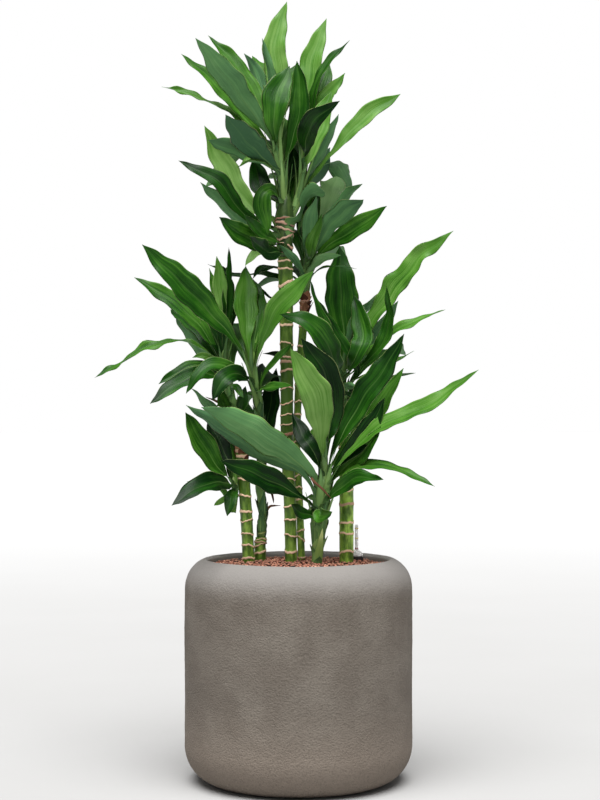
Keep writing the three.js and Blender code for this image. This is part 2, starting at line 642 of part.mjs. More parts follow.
      [512, 34, 60, 0.6, 1, [[68, 552, -20], [102, 585, -30], [150, 594, -47], [205, 578, -67],
        [258, 554, -82]]],
      [512, 34, 30, 0.35, 1.6, [[64, 536, -14], [86, 557, -22], [118, 571, -34], [161, 567, -50]]],
      [575, 40, 25, 0.55, 1, [[110, 650, 18], [155, 710, 23], [199, 778, 28]]],
      [565, 40, 20, 0.05, 1, [[100, 622, -6], [135, 665, -10], [163, 722, -12]]],
      [550, 36, 25, 0.45, 1, [[95, 595, -2], [130, 628, -12], [156, 668, -16]]],
      [495, 26, 30, 0.2, 1, [[5, 505, -17], [-14, 520, -30]]],
      [505, 30, 20, 0.5, 1, [[42, 497, -22], [64, 506, -34]]],
      [545, 4, 30, -1, 1, [[55, 536, -18], [68, 526, -22]]],
    ],
    back: [
      { core: 0, count: 4, middle: 104, spread: 12, length: 200, width: 40, seed: 17 },
    ],
  },
  leafy_stem_right: {
    cores: [
      [[88, 650, 15, 11], [83, 690, 21, 9], [81, 735, 29, 9.5], [82, 777, 36, 6]],
    ],
    leaves: [
      [760, 66, 12, 0.3, 1, [[86, 830, 6], [80, 910, 10], [78, 1009, 18]]],
      [755, 44, 25, 0.7, 2, [[118, 835, 2], [170, 915, -2], [225, 985, -8], [293, 1038, -16]], 0.2],
      [750, 26, 55, 0.6, 1.3, [[130, 808, -16], [195, 855, -26], [278, 889, -36]]],
      [755, 30, 40, 0.35, 1.4, [[140, 800, -34], [172, 862, -42], [167, 933, -46]]],
      [758, 42, 18, 0.45, 1, [[112, 805, -20], [122, 850, -12], [104, 917, -2]]],
      [752, 32, 150, 0.3, 1, [[135, 818, 18], [165, 865, 24], [189, 906, 28]]],
      [748, 46, 25, 0.25, 1, [[66, 795, -32], [40, 846, -42], [2, 872, -44], [-35, 880, -38]]],
      [752, 20, 40, 0.3, 1, [[68, 825, -42], [40, 882, -46], [22, 946, -42]]],
      [745, 22, 35, 0.2, 1, [[112, 765, -28], [95, 808, -36], [60, 865, -38], [37, 907, -38]]],
      [745, 14, 50, 0.6, 1, [[150, 775, 6], [219, 811, 14]]],
      [738, 14, 50, 0.3, 1, [[150, 755, 12], [222, 769, 22]]],
      [725, 12, 50, 0.2, 1, [[130, 712, 10], [171, 702, 18]]],
      [735, 16, 150, 0.4, 1, [[97, 744, -14], [111, 742, -18]]],
      [732, 10, 30, 0, 1, [[97, 728, -16], [110, 717, -20]]],
      [740, 18, 30, 0.1, 1, [[30, 795, 38], [-68, 806, 48]]],
    ],
    back: [
      { core: 0, count: 6, middle: 62, spread: 38, length: 260, width: 52, seed: 18 },
    ],
  },
};

function leafySolid(plant) {
  const stems = plant.cores.map(stemSolid);
  const lists = [[plant.leaves, 0], [plant.leavesLeft ?? [], 1], [plant.leavesRight ?? [], 2]];
  const blades = lists.flatMap(([rows, core]) => rows.map((row, order) => (
    tableLeaf(plant.cores[core], row, order)
  )));
  const hidden = plant.back.flatMap((rule) => backLeaves(plant.cores[rule.core], rule));
  return union([...stems, ...blades, ...hidden]);
}

// ---------------------------------------------------------------- water-level gauge

function lathed(outline, sides) {
  const points = outline.map(([radius, z]) => new THREE.Vector2(radius, z));
  return solidOf(upright(new THREE.LatheGeometry(points, sides)))
    .translate([GAUGE.x, GAUGE.depth, 0]);
}

// A shaft with a round bore down to its closed foot, and a collar that carries the sight tube.
function gaugeBody() {
  return lathed([[0, GAUGE.low], [SHAFT.radius, GAUGE.low], [SHAFT.radius, SHAFT.top],
    [FOOT.radius, SHAFT.top + 1], [FOOT.radius, FOOT.top - 1], [FOOT.radius - 1, FOOT.top],
    [FOOT.bore, FOOT.top], [FOOT.bore, SHAFT.top - 2], [SHAFT.bore, SHAFT.top - 6],
    [SHAFT.bore, GAUGE.low + 4], [0, GAUGE.low + 4]], 16);
}

// The plain outside of the gauge's body, grown by extra, for its hole in the granules.
function gaugeHole(extra) {
  return lathed([[0, GAUGE.low - extra], [SHAFT.radius + extra, GAUGE.low - extra],
    [SHAFT.radius + extra, SHAFT.top], [FOOT.radius + extra, SHAFT.top + 1 - extra],
    [FOOT.radius + extra, FOOT.top + extra], [0, FOOT.top + extra]], 16);
}

// A small clear dome that narrows into the sight tube, one shell of even wall, closed at the top.
function gaugeTube() {
  const low = FOOT.top + GAP;
  const bore = TUBE.radius - TUBE.wall;
  return lathed([[DOME.radius, low], [DOME.radius - 1, low + 6], [5, low + 10],
    [TUBE.radius, low + DOME.height], [TUBE.radius, TUBE.top - 1], [TUBE.radius - 1, TUBE.top],
    [0, TUBE.top], [0, TUBE.top - 1.4], [bore, TUBE.top - 2], [bore, low + DOME.height - 1],
    [DOME.radius - 1 - DOME.wall, low + 5], [DOME.radius - DOME.wall, low], [DOME.radius, low]], 12);
}

// The float rests on the foot of the bore; its rod ends in the red tip seen in the dome.
function gaugeFloat() {
  const low = GAUGE.low + 4.4;
  return lathed([[0, low], [FLOAT.radius, low + 0.6], [FLOAT.radius, FLOAT.top],
    [FLOAT.rod, FLOAT.top + 4], [FLOAT.rod, FLOAT.tipLow - 1], [FLOAT.tipRadius, FLOAT.tipLow],
    [FLOAT.tipRadius, FLOAT.tipHigh], [0, FLOAT.tipHigh + 1.5]], 10);
}

// ---------------------------------------------------------------- the plant in its pot

const plant = new THREE.Group();

function addPiece(name, solid, look) {
  const piece = new THREE.Mesh(geometryOf(solid), new THREE.MeshStandardMaterial(look));
  piece.name = name;
  plant.add(piece);
}

const CEMENT = { color: 0xb3aca6, roughness: 0.85, metalness: 0 };
const CLAY = { color: 0x9c5a45, roughness: 0.95, metalness: 0 };
const CANE = { color: 0x5f8a35, roughness: 0.5, metalness: 0 };
const LEAF = { color: 0x3b6b2c, roughness: 0.4, metalness: 0 };
const DARK_PLASTIC = { color: 0x2b2326, roughness: 0.5, metalness: 0 };
const CLEAR_PLASTIC = { color: 0xe6e8ec, roughness: 0.1, metalness: 0, transparent: true, opacity: 0.4 };
const RED_PLASTIC = { color: 0xa3302a, roughness: 0.4, metalness: 0 };

const grownCanes = Object.values(CANES).map((cane) => caneSolid(cane, GAP));
const frontStem = leafySolid(LEAFY_STEMS.leafy_stem_front);
const grownFrontStem = stemSolid(LEAFY_STEMS.leafy_stem_front.cores[0].map(
  ([x, z, depth, radius], k) => [x, k === 0 ? z - GAP : z, depth, radius + GAP],
));

addPiece('planter', planterSolid(), CEMENT);
addPiece('clay_granules',
  largestBody(granuleSolid().subtract(union([...grownCanes, grownFrontStem, gaugeHole(GAP)]))), CLAY);
Object.entries(CANES).forEach(([name, cane]) => addPiece(name, caneSolid(cane), CANE));
Object.entries(LEAFY_STEMS).forEach(([name, stem]) => {
  const whole = name === 'leafy_stem_front' ? frontStem : leafySolid(stem);
  addPiece(name, largestBody(whole.subtract(union(grownCanes))), LEAF);
});
addPiece('gauge_body', gaugeBody(), DARK_PLASTIC);
addPiece('gauge_tube', gaugeTube(), CLEAR_PLASTIC);
addPiece('gauge_float', gaugeFloat(), RED_PLASTIC);

export default plant;
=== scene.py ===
# A potted dracaena dressed for its picture: a cement planter, clay granules, ringed green canes,
# leafy stems with long waved leaves, their dried remains and a small water-level gauge.
# The model is in metres. The plant's own tables are in millimetres, as read from its photo.
import math
import random

import bmesh
import bpy
import numpy as np
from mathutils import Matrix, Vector, noise


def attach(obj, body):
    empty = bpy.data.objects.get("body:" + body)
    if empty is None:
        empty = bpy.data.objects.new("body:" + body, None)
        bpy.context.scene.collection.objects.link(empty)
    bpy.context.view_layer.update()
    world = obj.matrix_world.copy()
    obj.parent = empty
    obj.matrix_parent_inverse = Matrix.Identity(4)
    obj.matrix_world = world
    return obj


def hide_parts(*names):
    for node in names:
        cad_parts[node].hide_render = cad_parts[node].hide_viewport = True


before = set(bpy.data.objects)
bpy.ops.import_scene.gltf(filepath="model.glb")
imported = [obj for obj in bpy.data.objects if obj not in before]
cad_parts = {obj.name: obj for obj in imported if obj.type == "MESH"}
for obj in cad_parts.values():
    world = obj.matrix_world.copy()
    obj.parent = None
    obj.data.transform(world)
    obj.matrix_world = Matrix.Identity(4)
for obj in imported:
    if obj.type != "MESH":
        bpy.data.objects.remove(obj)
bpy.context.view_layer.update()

# ------------------------------------------------------------------------------- planter
# One thick round vessel of fibre cement with a rolled shoulder and heel and a drawn-in mouth.
# It is cast, rubbed down by hand and left bare, so its skin is finely pitted and never even.
MM = 0.001
POT_RADIUS, POT_HEIGHT, POT_WALL = 215.0, 420.0, 12.0
SHOULDER_ACROSS, SHOULDER_DOWN, SHOULDER_TURN = 50.0, 57.0, math.radians(72)
HEEL_ACROSS, HEEL_UP = 62.0, 70.0
MOUTH_RADIUS, LIP_ROUND, LIP_DEPTH = 170.5, 7.0, 21.0
POT_AROUND = 460
CEMENT_DARK, CEMENT_LIGHT = (0.150, 0.128, 0.106), (0.192, 0.168, 0.141)
# The foot, shoulder and mouth tones are partly painted light; the pit tone is painted shade.
CEMENT_LIT_FOOT, CEMENT_LIT_TOP = (0.235, 0.192, 0.155), (0.232, 0.222, 0.212)
CEMENT_LIT_INSIDE, CEMENT_PIT_SHADE = (0.33, 0.315, 0.30), (0.070, 0.058, 0.047)
FOOT_FADE, SHOULDER_FADE = (0.01, 0.19), (0.345, 0.405)


class Term:
    """An output of a node, which joins numbers and other terms in sums."""

    def __init__(self, socket):
        self.socket, self.tree = socket, socket.id_data

    def __getitem__(self, name):
        return Term(self.socket.node.outputs[name])

    def __add__(self, other):
        return sums("ADD", self, other)

    def __radd__(self, other):
        return sums("ADD", other, self)

    def __sub__(self, other):
        return sums("SUBTRACT", self, other)

    def __rsub__(self, other):
        return sums("SUBTRACT", other, self)

    def __mul__(self, other):
        return sums("MULTIPLY", self, other)

    def __truediv__(self, other):
        return sums("DIVIDE", self, other)


def feed(node, feeds):
    """Gives each named input of a node a value, a colour or the term that runs into it."""
    for name, value in feeds.items():
        socket = node.inputs[name]
        if isinstance(value, Term):
            node.id_data.links.new(value.socket, socket)
        else:
            socket.default_value = (*value, 1) if socket.type == "RGBA" else value


def add(tree, kind, feeds=None, **settings):
    """A new node, as the term of its first output; the name of another output gives that one."""
    made = tree.nodes.new(kind)
    for name, value in settings.items():
        setattr(made, name, value)
    feed(made, feeds or {})
    return Term(made.outputs[0]) if made.outputs else None


def sums(operation, *values, clamp=False):
    """One Math node over numbers and terms."""
    tree = next(value.tree for value in values if isinstance(value, Term))
    return add(tree, "ShaderNodeMath", dict(enumerate(values)), operation=operation,
               use_clamp=clamp)


def vectors(operation, *values):
    """One Vector Math node; in SCALE the number comes last."""
    feeds = dict(zip((0, 3) if operation == "SCALE" else (0, 1), values))
    return add(values[0].tree, "ShaderNodeVectorMath", feeds, operation=operation)


def ramp(value, low, high):
    """Smooth rise from 0 at low to 1 at high."""
    feeds = {"Value": value, "From Min": low, "From Max": high}
    return add(value.tree, "ShaderNodeMapRange", feeds, interpolation_type="SMOOTHSTEP")


def blend(share, one, other):
    """A colour that goes from one to the other as share goes from 0 to 1."""
    feeds = {0: share, 6: one, 7: other}
    return add(share.tree, "ShaderNodeMix", feeds, data_type="RGBA", clamp_factor=True)[2]


def cloudy(spot, scale, detail=2.0, roughness=0.5):
    """Soft noise about 0.5."""
    return add(spot.tree, "ShaderNodeTexNoise", {
        "Vector": spot, "Scale": scale, "Detail": detail, "Roughness": roughness})


def new_group(kind, name, ins, outs):
    """An empty node group with named sockets, and what comes in by them."""
    group = bpy.data.node_groups.new(name, kind + "NodeTree")
    for way, sockets in (("INPUT", ins), ("OUTPUT", outs)):
        for label, held in sockets.items():
            group.interface.new_socket(label, in_out=way, socket_type="NodeSocket" + held)
    return group, add(group, "NodeGroupInput")


def uneven_tone_group():
    """Soft patches of a lighter and a darker tone with a fine speckle over them."""
    group, given = new_group(
        "Shader", "uneven_tone",
        {"Place": "Vector", "Patch scale": "Float", "Speckle scale": "Float", "Dark": "Color",
         "Light": "Color"},
        {"Colour": "Color", "Patches": "Float", "Speckle": "Float"})
    patches = cloudy(given["Place"], given["Patch scale"], 4.0)
    speckle = cloudy(given["Place"], given["Speckle scale"])
    share = sums("ADD", ramp(patches, 0.3, 0.7), (speckle - 0.5) * 0.7, clamp=True)
    add(group, "NodeGroupOutput", {
        "Colour": blend(share, given["Dark"], given["Light"]), "Patches": patches,
        "Speckle": speckle})
    return group


UNEVEN_TONE = uneven_tone_group()


def uneven_tone(spot, patch_scale, speckle_scale, dark, light):
    """The uneven tone group put into a material with its own values."""
    return add(spot.tree, "ShaderNodeGroup", {
        "Place": spot, "Patch scale": patch_scale, "Speckle scale": speckle_scale,
        "Dark": dark, "Light": light}, node_tree=UNEVEN_TONE)


def finish(name, roughness, specular=0.5):
    """A material, its Principled shader and the object's own coordinates."""
    material = bpy.data.materials.new(name)
    material.use_nodes = True
    shader = material.node_tree.nodes["Principled BSDF"]
    feed(shader, {"Roughness": roughness, "Specular IOR Level": specular})
    return material, shader, add(material.node_tree, "ShaderNodeTexCoord")["Object"]


def relief(height, distance, strength=1.0):
    """The normal of fine relief with that height."""
    return add(height.tree, "ShaderNodeBump", {
        "Height": height, "Distance": distance, "Strength": strength})


def cement_finish():
    """Lighter and warmer at the foot, paler over the shoulder, palest inside the mouth and darker in
    the pits: painted light against the heel's shade, a painted highlight over a paler shoulder skin,
    painted light on the shaded inner wall and painted shade with some dirt in the pits.
    """
    material, shader, spot = finish("grey_taupe_cement", 0.88, 0.25)
    tone = uneven_tone(spot, 14.0, 260.0, CEMENT_DARK, CEMENT_LIGHT)
    height = add(spot.tree, "ShaderNodeSeparateXYZ", {0: spot})["Z"]
    lit_top = ramp(height, *SHOULDER_FADE)
    off_axis = vectors("LENGTH", vectors("MULTIPLY", spot, (1, 1, 0)))["Value"]
    inside = 1.0 - ramp(off_axis, MOUTH_RADIUS * MM, (MOUTH_RADIUS + LIP_ROUND / 2) * MM)
    pits = cloudy(spot, 300.0, 3.0, 0.62)
    skin = pits + cloudy(spot, 520.0) * 0.22
    below_lit_top = 1.0 - lit_top * 0.75
    # Painted light, with a warmer tone: the foot is lightened against the heel's shade.
    colour = blend((1.0 - ramp(height, *FOOT_FADE)) * 0.8, tone["Colour"], CEMENT_LIT_FOOT)
    # Painted highlight over a paler skin: the shoulder goes paler and cooler.
    colour = blend(lit_top * 0.75, colour, CEMENT_LIT_TOP)
    # Painted light: the shaded inner wall of the mouth is made palest.
    colour = blend(inside * lit_top, colour, CEMENT_LIT_INSIDE)
    # Painted shade with some dirt: the pits of the skin are darkened.
    colour = blend(ramp(skin, 0.66, 0.42) * 0.3 * below_lit_top, colour, CEMENT_PIT_SHADE)
    feed(shader, {"Base Color": colour, "Normal": relief(skin * below_lit_top, 0.0032)})
    return material


def joined(rows):
    """Faces between each row of point numbers and the next; a row of one number is a tip."""
    faces = []
    for one, other in zip(rows, rows[1:]):
        for k in range(len(one)):
            after = (k + 1) % len(one)
            corners = tuple(dict.fromkeys((one[k], one[after], other[after], other[k])))
            if len(corners) > 2:
                faces.append(corners)
    return faces


def all_round(count):
    """That many angles, evenly spaced all the way round."""
    return np.arange(count) * 2 * math.pi / count


def lathe(profile, around, closed=False):
    """Points (mm) and faces of a profile of [radius, height] turned about Z. An open profile
    runs from axis to axis."""
    turn = all_round(around)
    places, rows = [], []
    for radius, z in profile:
        start, count = len(places), around if radius else 1
        places += [[radius * math.cos(a), radius * math.sin(a), z] for a in turn[:count]]
        rows.append([start + k % count for k in range(around)])
    return np.array(places, float), joined([*rows, rows[0]] if closed else rows)


def make_piece(name, places, faces, material, marks=None, outward=True):
    """A smooth-shaded piece from points in millimetres; marks are numbers kept at each point."""
    mesh = bpy.data.meshes.new(name)
    mesh.from_pydata((np.asarray(places) * MM).tolist(), [], [tuple(map(int, f)) for f in faces])
    for label, values in (marks or {}).items():
        mesh.attributes.new(label, "FLOAT", "POINT").data.foreach_set(
            "value", np.asarray(values, np.float32))
    if outward:
        face_outward(mesh)
    mesh.shade_smooth()
    mesh.materials.append(material)
    piece = bpy.data.objects.new(name, mesh)
    bpy.context.scene.collection.objects.link(piece)
    return piece


def face_outward(mesh):
    """Turns every face of the closed shells outwards."""
    shells = bmesh.new()
    shells.from_mesh(mesh)
    bmesh.ops.recalc_face_normals(shells, faces=shells.faces)
    shells.to_mesh(mesh)
    shells.free()


def put_on(piece, slot, *nodes):
    """Fixes a piece to the plant's one body and lets it stand for its plain solids."""
    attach(piece, "root")
    if nodes:
        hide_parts(*nodes)


def arc(centre, across, up, start, end, steps):
    """Points of a quarter-round with its own width and height."""
    angles = np.linspace(start, end, steps)
    return [[centre[0] + across * math.cos(a), centre[1] + up * math.sin(a)] for a in angles]


def planter_profile():
    """From the middle of the underside, up the outside, over the lip and down the inside."""
    heel = arc((POT_RADIUS - HEEL_ACROSS, HEEL_UP), HEEL_ACROSS, HEEL_UP, -math.pi / 2, 0, 26)
    side = [[POT_RADIUS, z] for z in np.linspace(HEEL_UP, POT_HEIGHT - SHOULDER_DOWN, 108)[1:-1]]
    shoulder = arc((POT_RADIUS - SHOULDER_ACROSS, POT_HEIGHT - SHOULDER_DOWN), SHOULDER_ACROSS,
                   SHOULDER_DOWN, 0, SHOULDER_TURN, 24)
    lip = arc((MOUTH_RADIUS + LIP_ROUND, POT_HEIGHT - 2 - LIP_ROUND), LIP_ROUND, LIP_ROUND,
              math.radians(75), math.pi, 9)
    neck_low = POT_HEIGHT - LIP_DEPTH
    inside = [[MOUTH_RADIUS, z] for z in np.linspace(POT_HEIGHT - 11, neck_low, 6)]
    hollow = [[MOUTH_RADIUS + 8, neck_low - 6], [POT_RADIUS - POT_WALL, neck_low - 48]]
    hollow += arc((POT_RADIUS - HEEL_ACROSS, HEEL_UP), HEEL_ACROSS - POT_WALL,
                  HEEL_UP - POT_WALL, 0, -math.pi / 2, 8)
    return [[0, 0], [90, 0], [140, 0], *heel, *side, *shoulder, *lip, *inside, *hollow,
            [0, POT_WALL]]


def planter():
    """Every point of the outside is moved a little, as a skin abraded by hand is."""
    places, faces = lathe(planter_profile(), POT_AROUND)
    piece = make_piece("planter_shell", places, faces, cement_finish())
    mesh = piece.data
    turned = [v.normal.copy() for v in mesh.vertices]
    for v, outward in zip(mesh.vertices, turned):
        if v.co.z < 2 * MM or Vector((v.co.x, v.co.y)).length < (MOUTH_RADIUS - 2) * MM:
            continue
        swell = 0.8 * noise.noise(v.co * 9.0) + 0.35 * noise.noise(v.co * 50.0)
        pitting = 0.22 * noise.noise(v.co * 110.0) + 0.18 * noise.noise(v.co * 180.0)
        pitting *= 0.3 if v.co.z > 0.39 else 1.0
        v.co += outward * (swell + pitting) * MM
    return piece


put_on(planter(), "planter", "planter")

# ------------------------------------------------------------------------- clay granules
# Fired clay granules of 5 to 9 mm, red-brown and dull, poured round the canes in place of soil.
# They lie loose in a low mound that ends just below the lip.
GRANULE_LEVEL, GRANULE_MOUND = 402.0, 6.5
GRANULE_SIZE, GRANULE_SPACING = 3.7, 6.4
GRANULE_TOSS = (0, 0, -0.0014), (0, 0, 0.0032)
GRANULE_GROWTH = (0.75, 0.75, 0.65), (1.25, 1.2, 1.1)
# The darkest clay colour is painted shade for the gaps and the granules' undersides.
CLAY_DARK, CLAY_LIGHT, CLAY_GAP_SHADE = (0.62, 0.19, 0.12), (1.0, 0.54, 0.37), (0.022, 0.008, 0.006)


def read_marks(tree, *labels):
    """The numbers that a piece keeps at each point under those names."""
    return [add(tree, "ShaderNodeAttribute", attribute_name=label)["Fac"] for label in labels]


def clay_finish():
    material, shader, spot = finish("red_brown_fired_clay", 0.92, 0.25)
    tone = uneven_tone(spot, 150.0, 900.0, CLAY_DARK, CLAY_LIGHT)
    # The gap colour is painted shade: the bed and each granule's underside go dark by it.
    shade = read_marks(spot.tree, "shade")[0]
    feed(shader, {"Base Color": blend(shade, CLAY_GAP_SHADE, tone["Colour"]),
                  "Normal": relief(tone["Speckle"], 0.0006, 0.7)})
    return material


CLAY = clay_finish()


def granule_bed():
    """The body of the filling below the loose top layer. It keeps no shade mark, so it takes the
    darkest clay colour: a sheet of painted shade seen in the gaps between granules.
    """
    edge = MOUTH_RADIUS - 0.6
    top = [[edge * k / 12, GRANULE_LEVEL + GRANULE_MOUND * (1 - (k / 12) ** 2)]
           for k in range(12, -1, -1)]
    inner = POT_RADIUS - POT_WALL - 0.6
    low = arc((POT_RADIUS - HEEL_ACROSS, HEEL_UP), inner - (POT_RADIUS - HEEL_ACROSS),
              HEEL_UP - POT_WALL - 0.6, -math.pi / 2, 0, 8)
    neck = [[inner, POT_HEIGHT - LIP_DEPTH - 49], [MOUTH_RADIUS + 7, POT_HEIGHT - LIP_DEPTH - 7.4],
            [edge, POT_HEIGHT - LIP_DEPTH - 1]]
    places, faces = lathe([[0, POT_WALL + 0.6], *low, *neck, *top], 96)
    return make_piece("granule_bed", places, faces, CLAY)


def stored(shape, label, value, domain="POINT"):
    """The shape with a number kept at each point or instance."""
    return add(shape.tree, "GeometryNodeStoreNamedAttribute", {
        "Geometry": shape, "Name": label, "Value": value}, data_type="FLOAT", domain=domain)


def end_tree(shape, material):
    """Ends a geometry tree: the shape is shaded smooth and takes its material."""
    smoothed = add(shape.tree, "GeometryNodeSetShadeSmooth", {"Geometry": shape})
    clad = add(shape.tree, "GeometryNodeSetMaterial", {
        "Geometry": smoothed, "Material": material})
    add(shape.tree, "NodeGroupOutput", {0: clad})
    return shape.tree


def granule_tree():
    """Scatters small uneven pebbles over a surface, none closer than the spacing. Their shade is
    each one's own tint, with painted shade darker towards its underside."""
    tree, given = new_group(
        "Geometry", "granule_scatter",
        {"Ground": "Geometry", "Spacing": "Float", "Size": "Float", "Clay": "Material"},
        {"Granules": "Geometry"})

    def drawn(low, high, seed):
        return add(tree, "FunctionNodeRandomValue", {"Min": low, "Max": high, "Seed": seed},
                   data_type="FLOAT_VECTOR")

    spots = add(tree, "GeometryNodeDistributePointsOnFaces", {
        "Mesh": given["Ground"], "Distance Min": given["Spacing"], "Density Max": 500000.0,
        "Seed": 5}, distribute_method="POISSON")
    lying = add(tree, "GeometryNodeSetPosition", {
        "Geometry": spots, "Offset": drawn(*GRANULE_TOSS, 14)})
    pebble = add(tree, "GeometryNodeMeshUVSphere", {
        "Segments": 6, "Rings": 4, "Radius": given["Size"]})
    strewn = add(tree, "GeometryNodeInstanceOnPoints", {
        "Points": lying, "Instance": pebble, "Rotation": drawn((0, 0, 0), (6.3, 6.3, 6.3), 11),
        "Scale": drawn(*GRANULE_GROWTH, 12)})
    tint = add(tree, "FunctionNodeRandomValue", {2: 0.45, 3: 1.0, "Seed": 15}, data_type="FLOAT")
    whole = add(tree, "GeometryNodeRealizeInstances", {
        0: stored(strewn, "shade", tint[1], "INSTANCE")})
    dents = add(tree, "ShaderNodeTexNoise", {"Scale": 330.0, "Detail": 1.0})["Color"]
    push = vectors("SCALE", vectors("SUBTRACT", dents, (0.5, 0.5, 0.5)), given["Size"] * 0.5)
    dented = add(tree, "GeometryNodeSetPosition", {"Geometry": whole, "Offset": push})
    # Painted shade: faces turned downwards are darkened as if the light did not reach them.
    upright = add(tree, "ShaderNodeSeparateXYZ", {0: add(tree, "GeometryNodeInputNormal")})["Z"]
    lit = sums("MULTIPLY_ADD", ramp(upright, 0.2, 0.98), 0.97, 0.03)
    own = add(tree, "GeometryNodeInputNamedAttribute", {"Name": "shade"}, data_type="FLOAT")
    return end_tree(stored(dented, "shade", own * lit), given["Clay"])


def grow(name, ground, tree, values):
    """Runs a tree on a base mesh with its named inputs and keeps the result as a plain piece."""
    base = bpy.data.objects.new(name, ground)
    bpy.context.scene.collection.objects.link(base)
    modifier = base.modifiers.new("grow", "NODES")
    modifier.node_group = tree
    for item in tree.interface.items_tree:
        if item.item_type == "SOCKET" and item.in_out == "INPUT" and item.name in values:
            modifier[item.identifier] = values[item.name]
    depsgraph = bpy.context.evaluated_depsgraph_get()
    mesh = bpy.data.meshes.new_from_object(base.evaluated_get(depsgraph))
    base.modifiers.clear()
    base.data = mesh
    return base


def granule_ground():
    """The mounded disc on which the loose granules lie, with its faces upwards."""
    edge = MOUTH_RADIUS - GRANULE_SIZE - 0.4
    rows = [[edge * k / 10, GRANULE_LEVEL + 0.8 + GRANULE_MOUND * (1 - (k / 10) ** 2)]
            for k in range(1, 11)]
    places, faces = lathe([[0, rows[0][1]], *rows], 64)
    ground = bpy.data.meshes.new("granule_ground")
    ground.from_pydata((places * MM).tolist(), [], [(f[0], *f[:0:-1]) for f in faces])
    return ground


put_on(granule_bed(), "granules", "clay_granules")
put_on(grow("loose_granules", granule_ground(), granule_tree(), {
    "Spacing": GRANULE_SPACING * MM, "Size": GRANULE_SIZE * MM, "Clay": CLAY}),
    "granules", "clay_granules")

# --------------------------------------------------------------------------------- canes
# Five green canes, cut square at different heights and rooted in the granules. Each old leaf
# left a thin raised scar round the cane, tan and a little waved or sloping.
STANDING_POINT = np.array([0.0, -3214.0, 690.0])
SCAR_RISE, SCAR_WIDTH = 1.15, 1.75
SCAR_STEPS = (-3.4, -2.2, -1.5, -1.0, -0.5, 0.0, 0.5, 1.0, 1.6, 2.4, 3.4)
CANE_AROUND = 44
SCAR_TAN, SCAR_BROWN = (0.98, 0.66, 0.46), (0.22, 0.075, 0.045)

# A point is [x, z, depth, radius]: x and z as seen from the standing point on the upright plane
# through the planter's axis, depth behind that plane. A scar is [height, slope, thickness, brown].
# The list given after the points is painted shade: how far the bark is darkened where the foliage shades
# it, as [height, share].
CANES = {
    "cane_front_left": {
        "points": [[-93, 330, 26, 11.5], [-95, 412, 26, 11.5], [-96, 450, 26, 11.5],
                   [-99, 500, 25, 11.5], [-102, 545, 24, 11.5], [-105, 590, 22, 11.5],
                   [-108, 630, 20, 12]],
        "canopy_shade": [[450, 0.3], [480, 0.45], [520, 0.68], [600, 0.8]],
        "scars": [[419, 2, 1, 0], [443, -3, 1, 0], [465, 1, 1, 0], [490, 0, 0.8, 0],
                  [507, 1, 1.1, 0], [537, 1, 1, 0], [568, 0, 1, 0], [597, -1, 0.9, 0],
                  [612, 1, 1.6, 0.4], [622, -1, 1.8, 0.7]],
    },
    "cane_rear_left": {
        "points": [[-72, 330, 52, 11], [-73, 440, 52, 11], [-72, 449, 52, 11.6], [-71, 458, 52, 10.6]],
        "canopy_shade": [[420, 0.35], [458, 0.5]],
        "scars": [[430, 2, 1, 0.2], [444, 3, 0.7, 0.3], [449, -3, 0.8, 0.7], [454, 2, 0.7, 0.4]],
    },
    "cane_main": {
        "points": [[-13, 300, 0, 11], [-14, 410, 0, 11.3], [-15, 480, 0, 11.3], [-17, 540, 0, 11.5],
                   [-20, 600, 0, 12], [-22, 660, 0, 12], [-22, 760, 0, 12], [-23, 860, 0, 12.5],
                   [-24, 930, 0, 13.5], [-25, 988, 0, 14]],
        "canopy_shade": [[430, 0.4], [500, 0.65], [560, 0.8], [640, 0.98], [780, 0.95], [850, 0.7],
                 [940, 0.65], [988, 0.75]],
        "scars": [[431, 0, 1.3, 0], [462, -1, 1, 0], [492, 3, 1, 0], [517, 0, 0.9, 0],
                  [547, 1, 0.8, 0], [568, -1, 0.9, 0.2], [594, 0, 0.7, 0.5], [620, 1, 0.7, 0.5],
                  [653, 0, 1.6, 0.9], [672, 1, 0.7, 0.4], [690, -1, 0.7, 0.3], [712, 3, 0.8, 0.5],
                  [740, 0, 0.7, 0.4], [774, 1, 1, 0.5], [790, 0, 1.2, 0.6], [798, -1, 1, 0.4],
                  [825, 0, 1, 0], [860, 1, 1.2, 0], [882, -1, 0.8, 0], [905, -2, 1, 0],
                  [938, 3, 1.3, 0], [966, -1, 1.1, 0], [981, 1, 1, 0]],
    },
    "cane_thin": {
        "points": [[7, 330, 28, 7], [6, 410, 28, 7], [3, 500, 28, 7], [-4, 640, 30, 7],
                   [1, 760, 32, 7.2], [10, 870, 33, 8], [13, 912, 34, 9]],
        "canopy_shade": [[430, 0.05], [500, 0.15], [600, 0.7], [900, 0.8]],
        "scars": [[420, 0, 1, 0], [456, -2, 0.9, 0], [471, 1, 1, 0], [500, 0, 0.8, 0],
                  [530, 1, 1, 0], [552, 0, 0.8, 0], [575, -1, 1, 0], [606, 1, 0.9, 0],
                  [640, 0, 1, 0.3], [690, 1, 1, 0.3], [715, 0, 0.8, 0], [745, -1, 1, 0],
                  [785, 0, 0.9, 0], [820, 1, 1, 0.3], [858, 0, 1, 0.3], [893, 1, 1.6, 0.9],
                  [900, -1, 1.8, 0.9], [906, 1, 1.6, 0.8]],
    },
    "cane_right": {
        "points": [[90, 330, 10, 13.2], [91, 410, 10, 13.2], [91, 480, 10, 13.5],
                   [91, 545, 10, 13.2], [90, 600, 11, 13], [88, 650, 12, 12.5]],
        "canopy_shade": [[430, 0.0], [540, 0.05], [600, 0.4], [650, 0.7]],
        "scars": [[431, 2, 1.2, 0], [466, -0.5, 1, 0], [486, 0, 1.1, 0], [521, 0, 1.7, 0.5],
                  [548, 1, 1, 0], [590, 0, 1, 0], [628, 1, 1.2, 0.3]],
    },
}


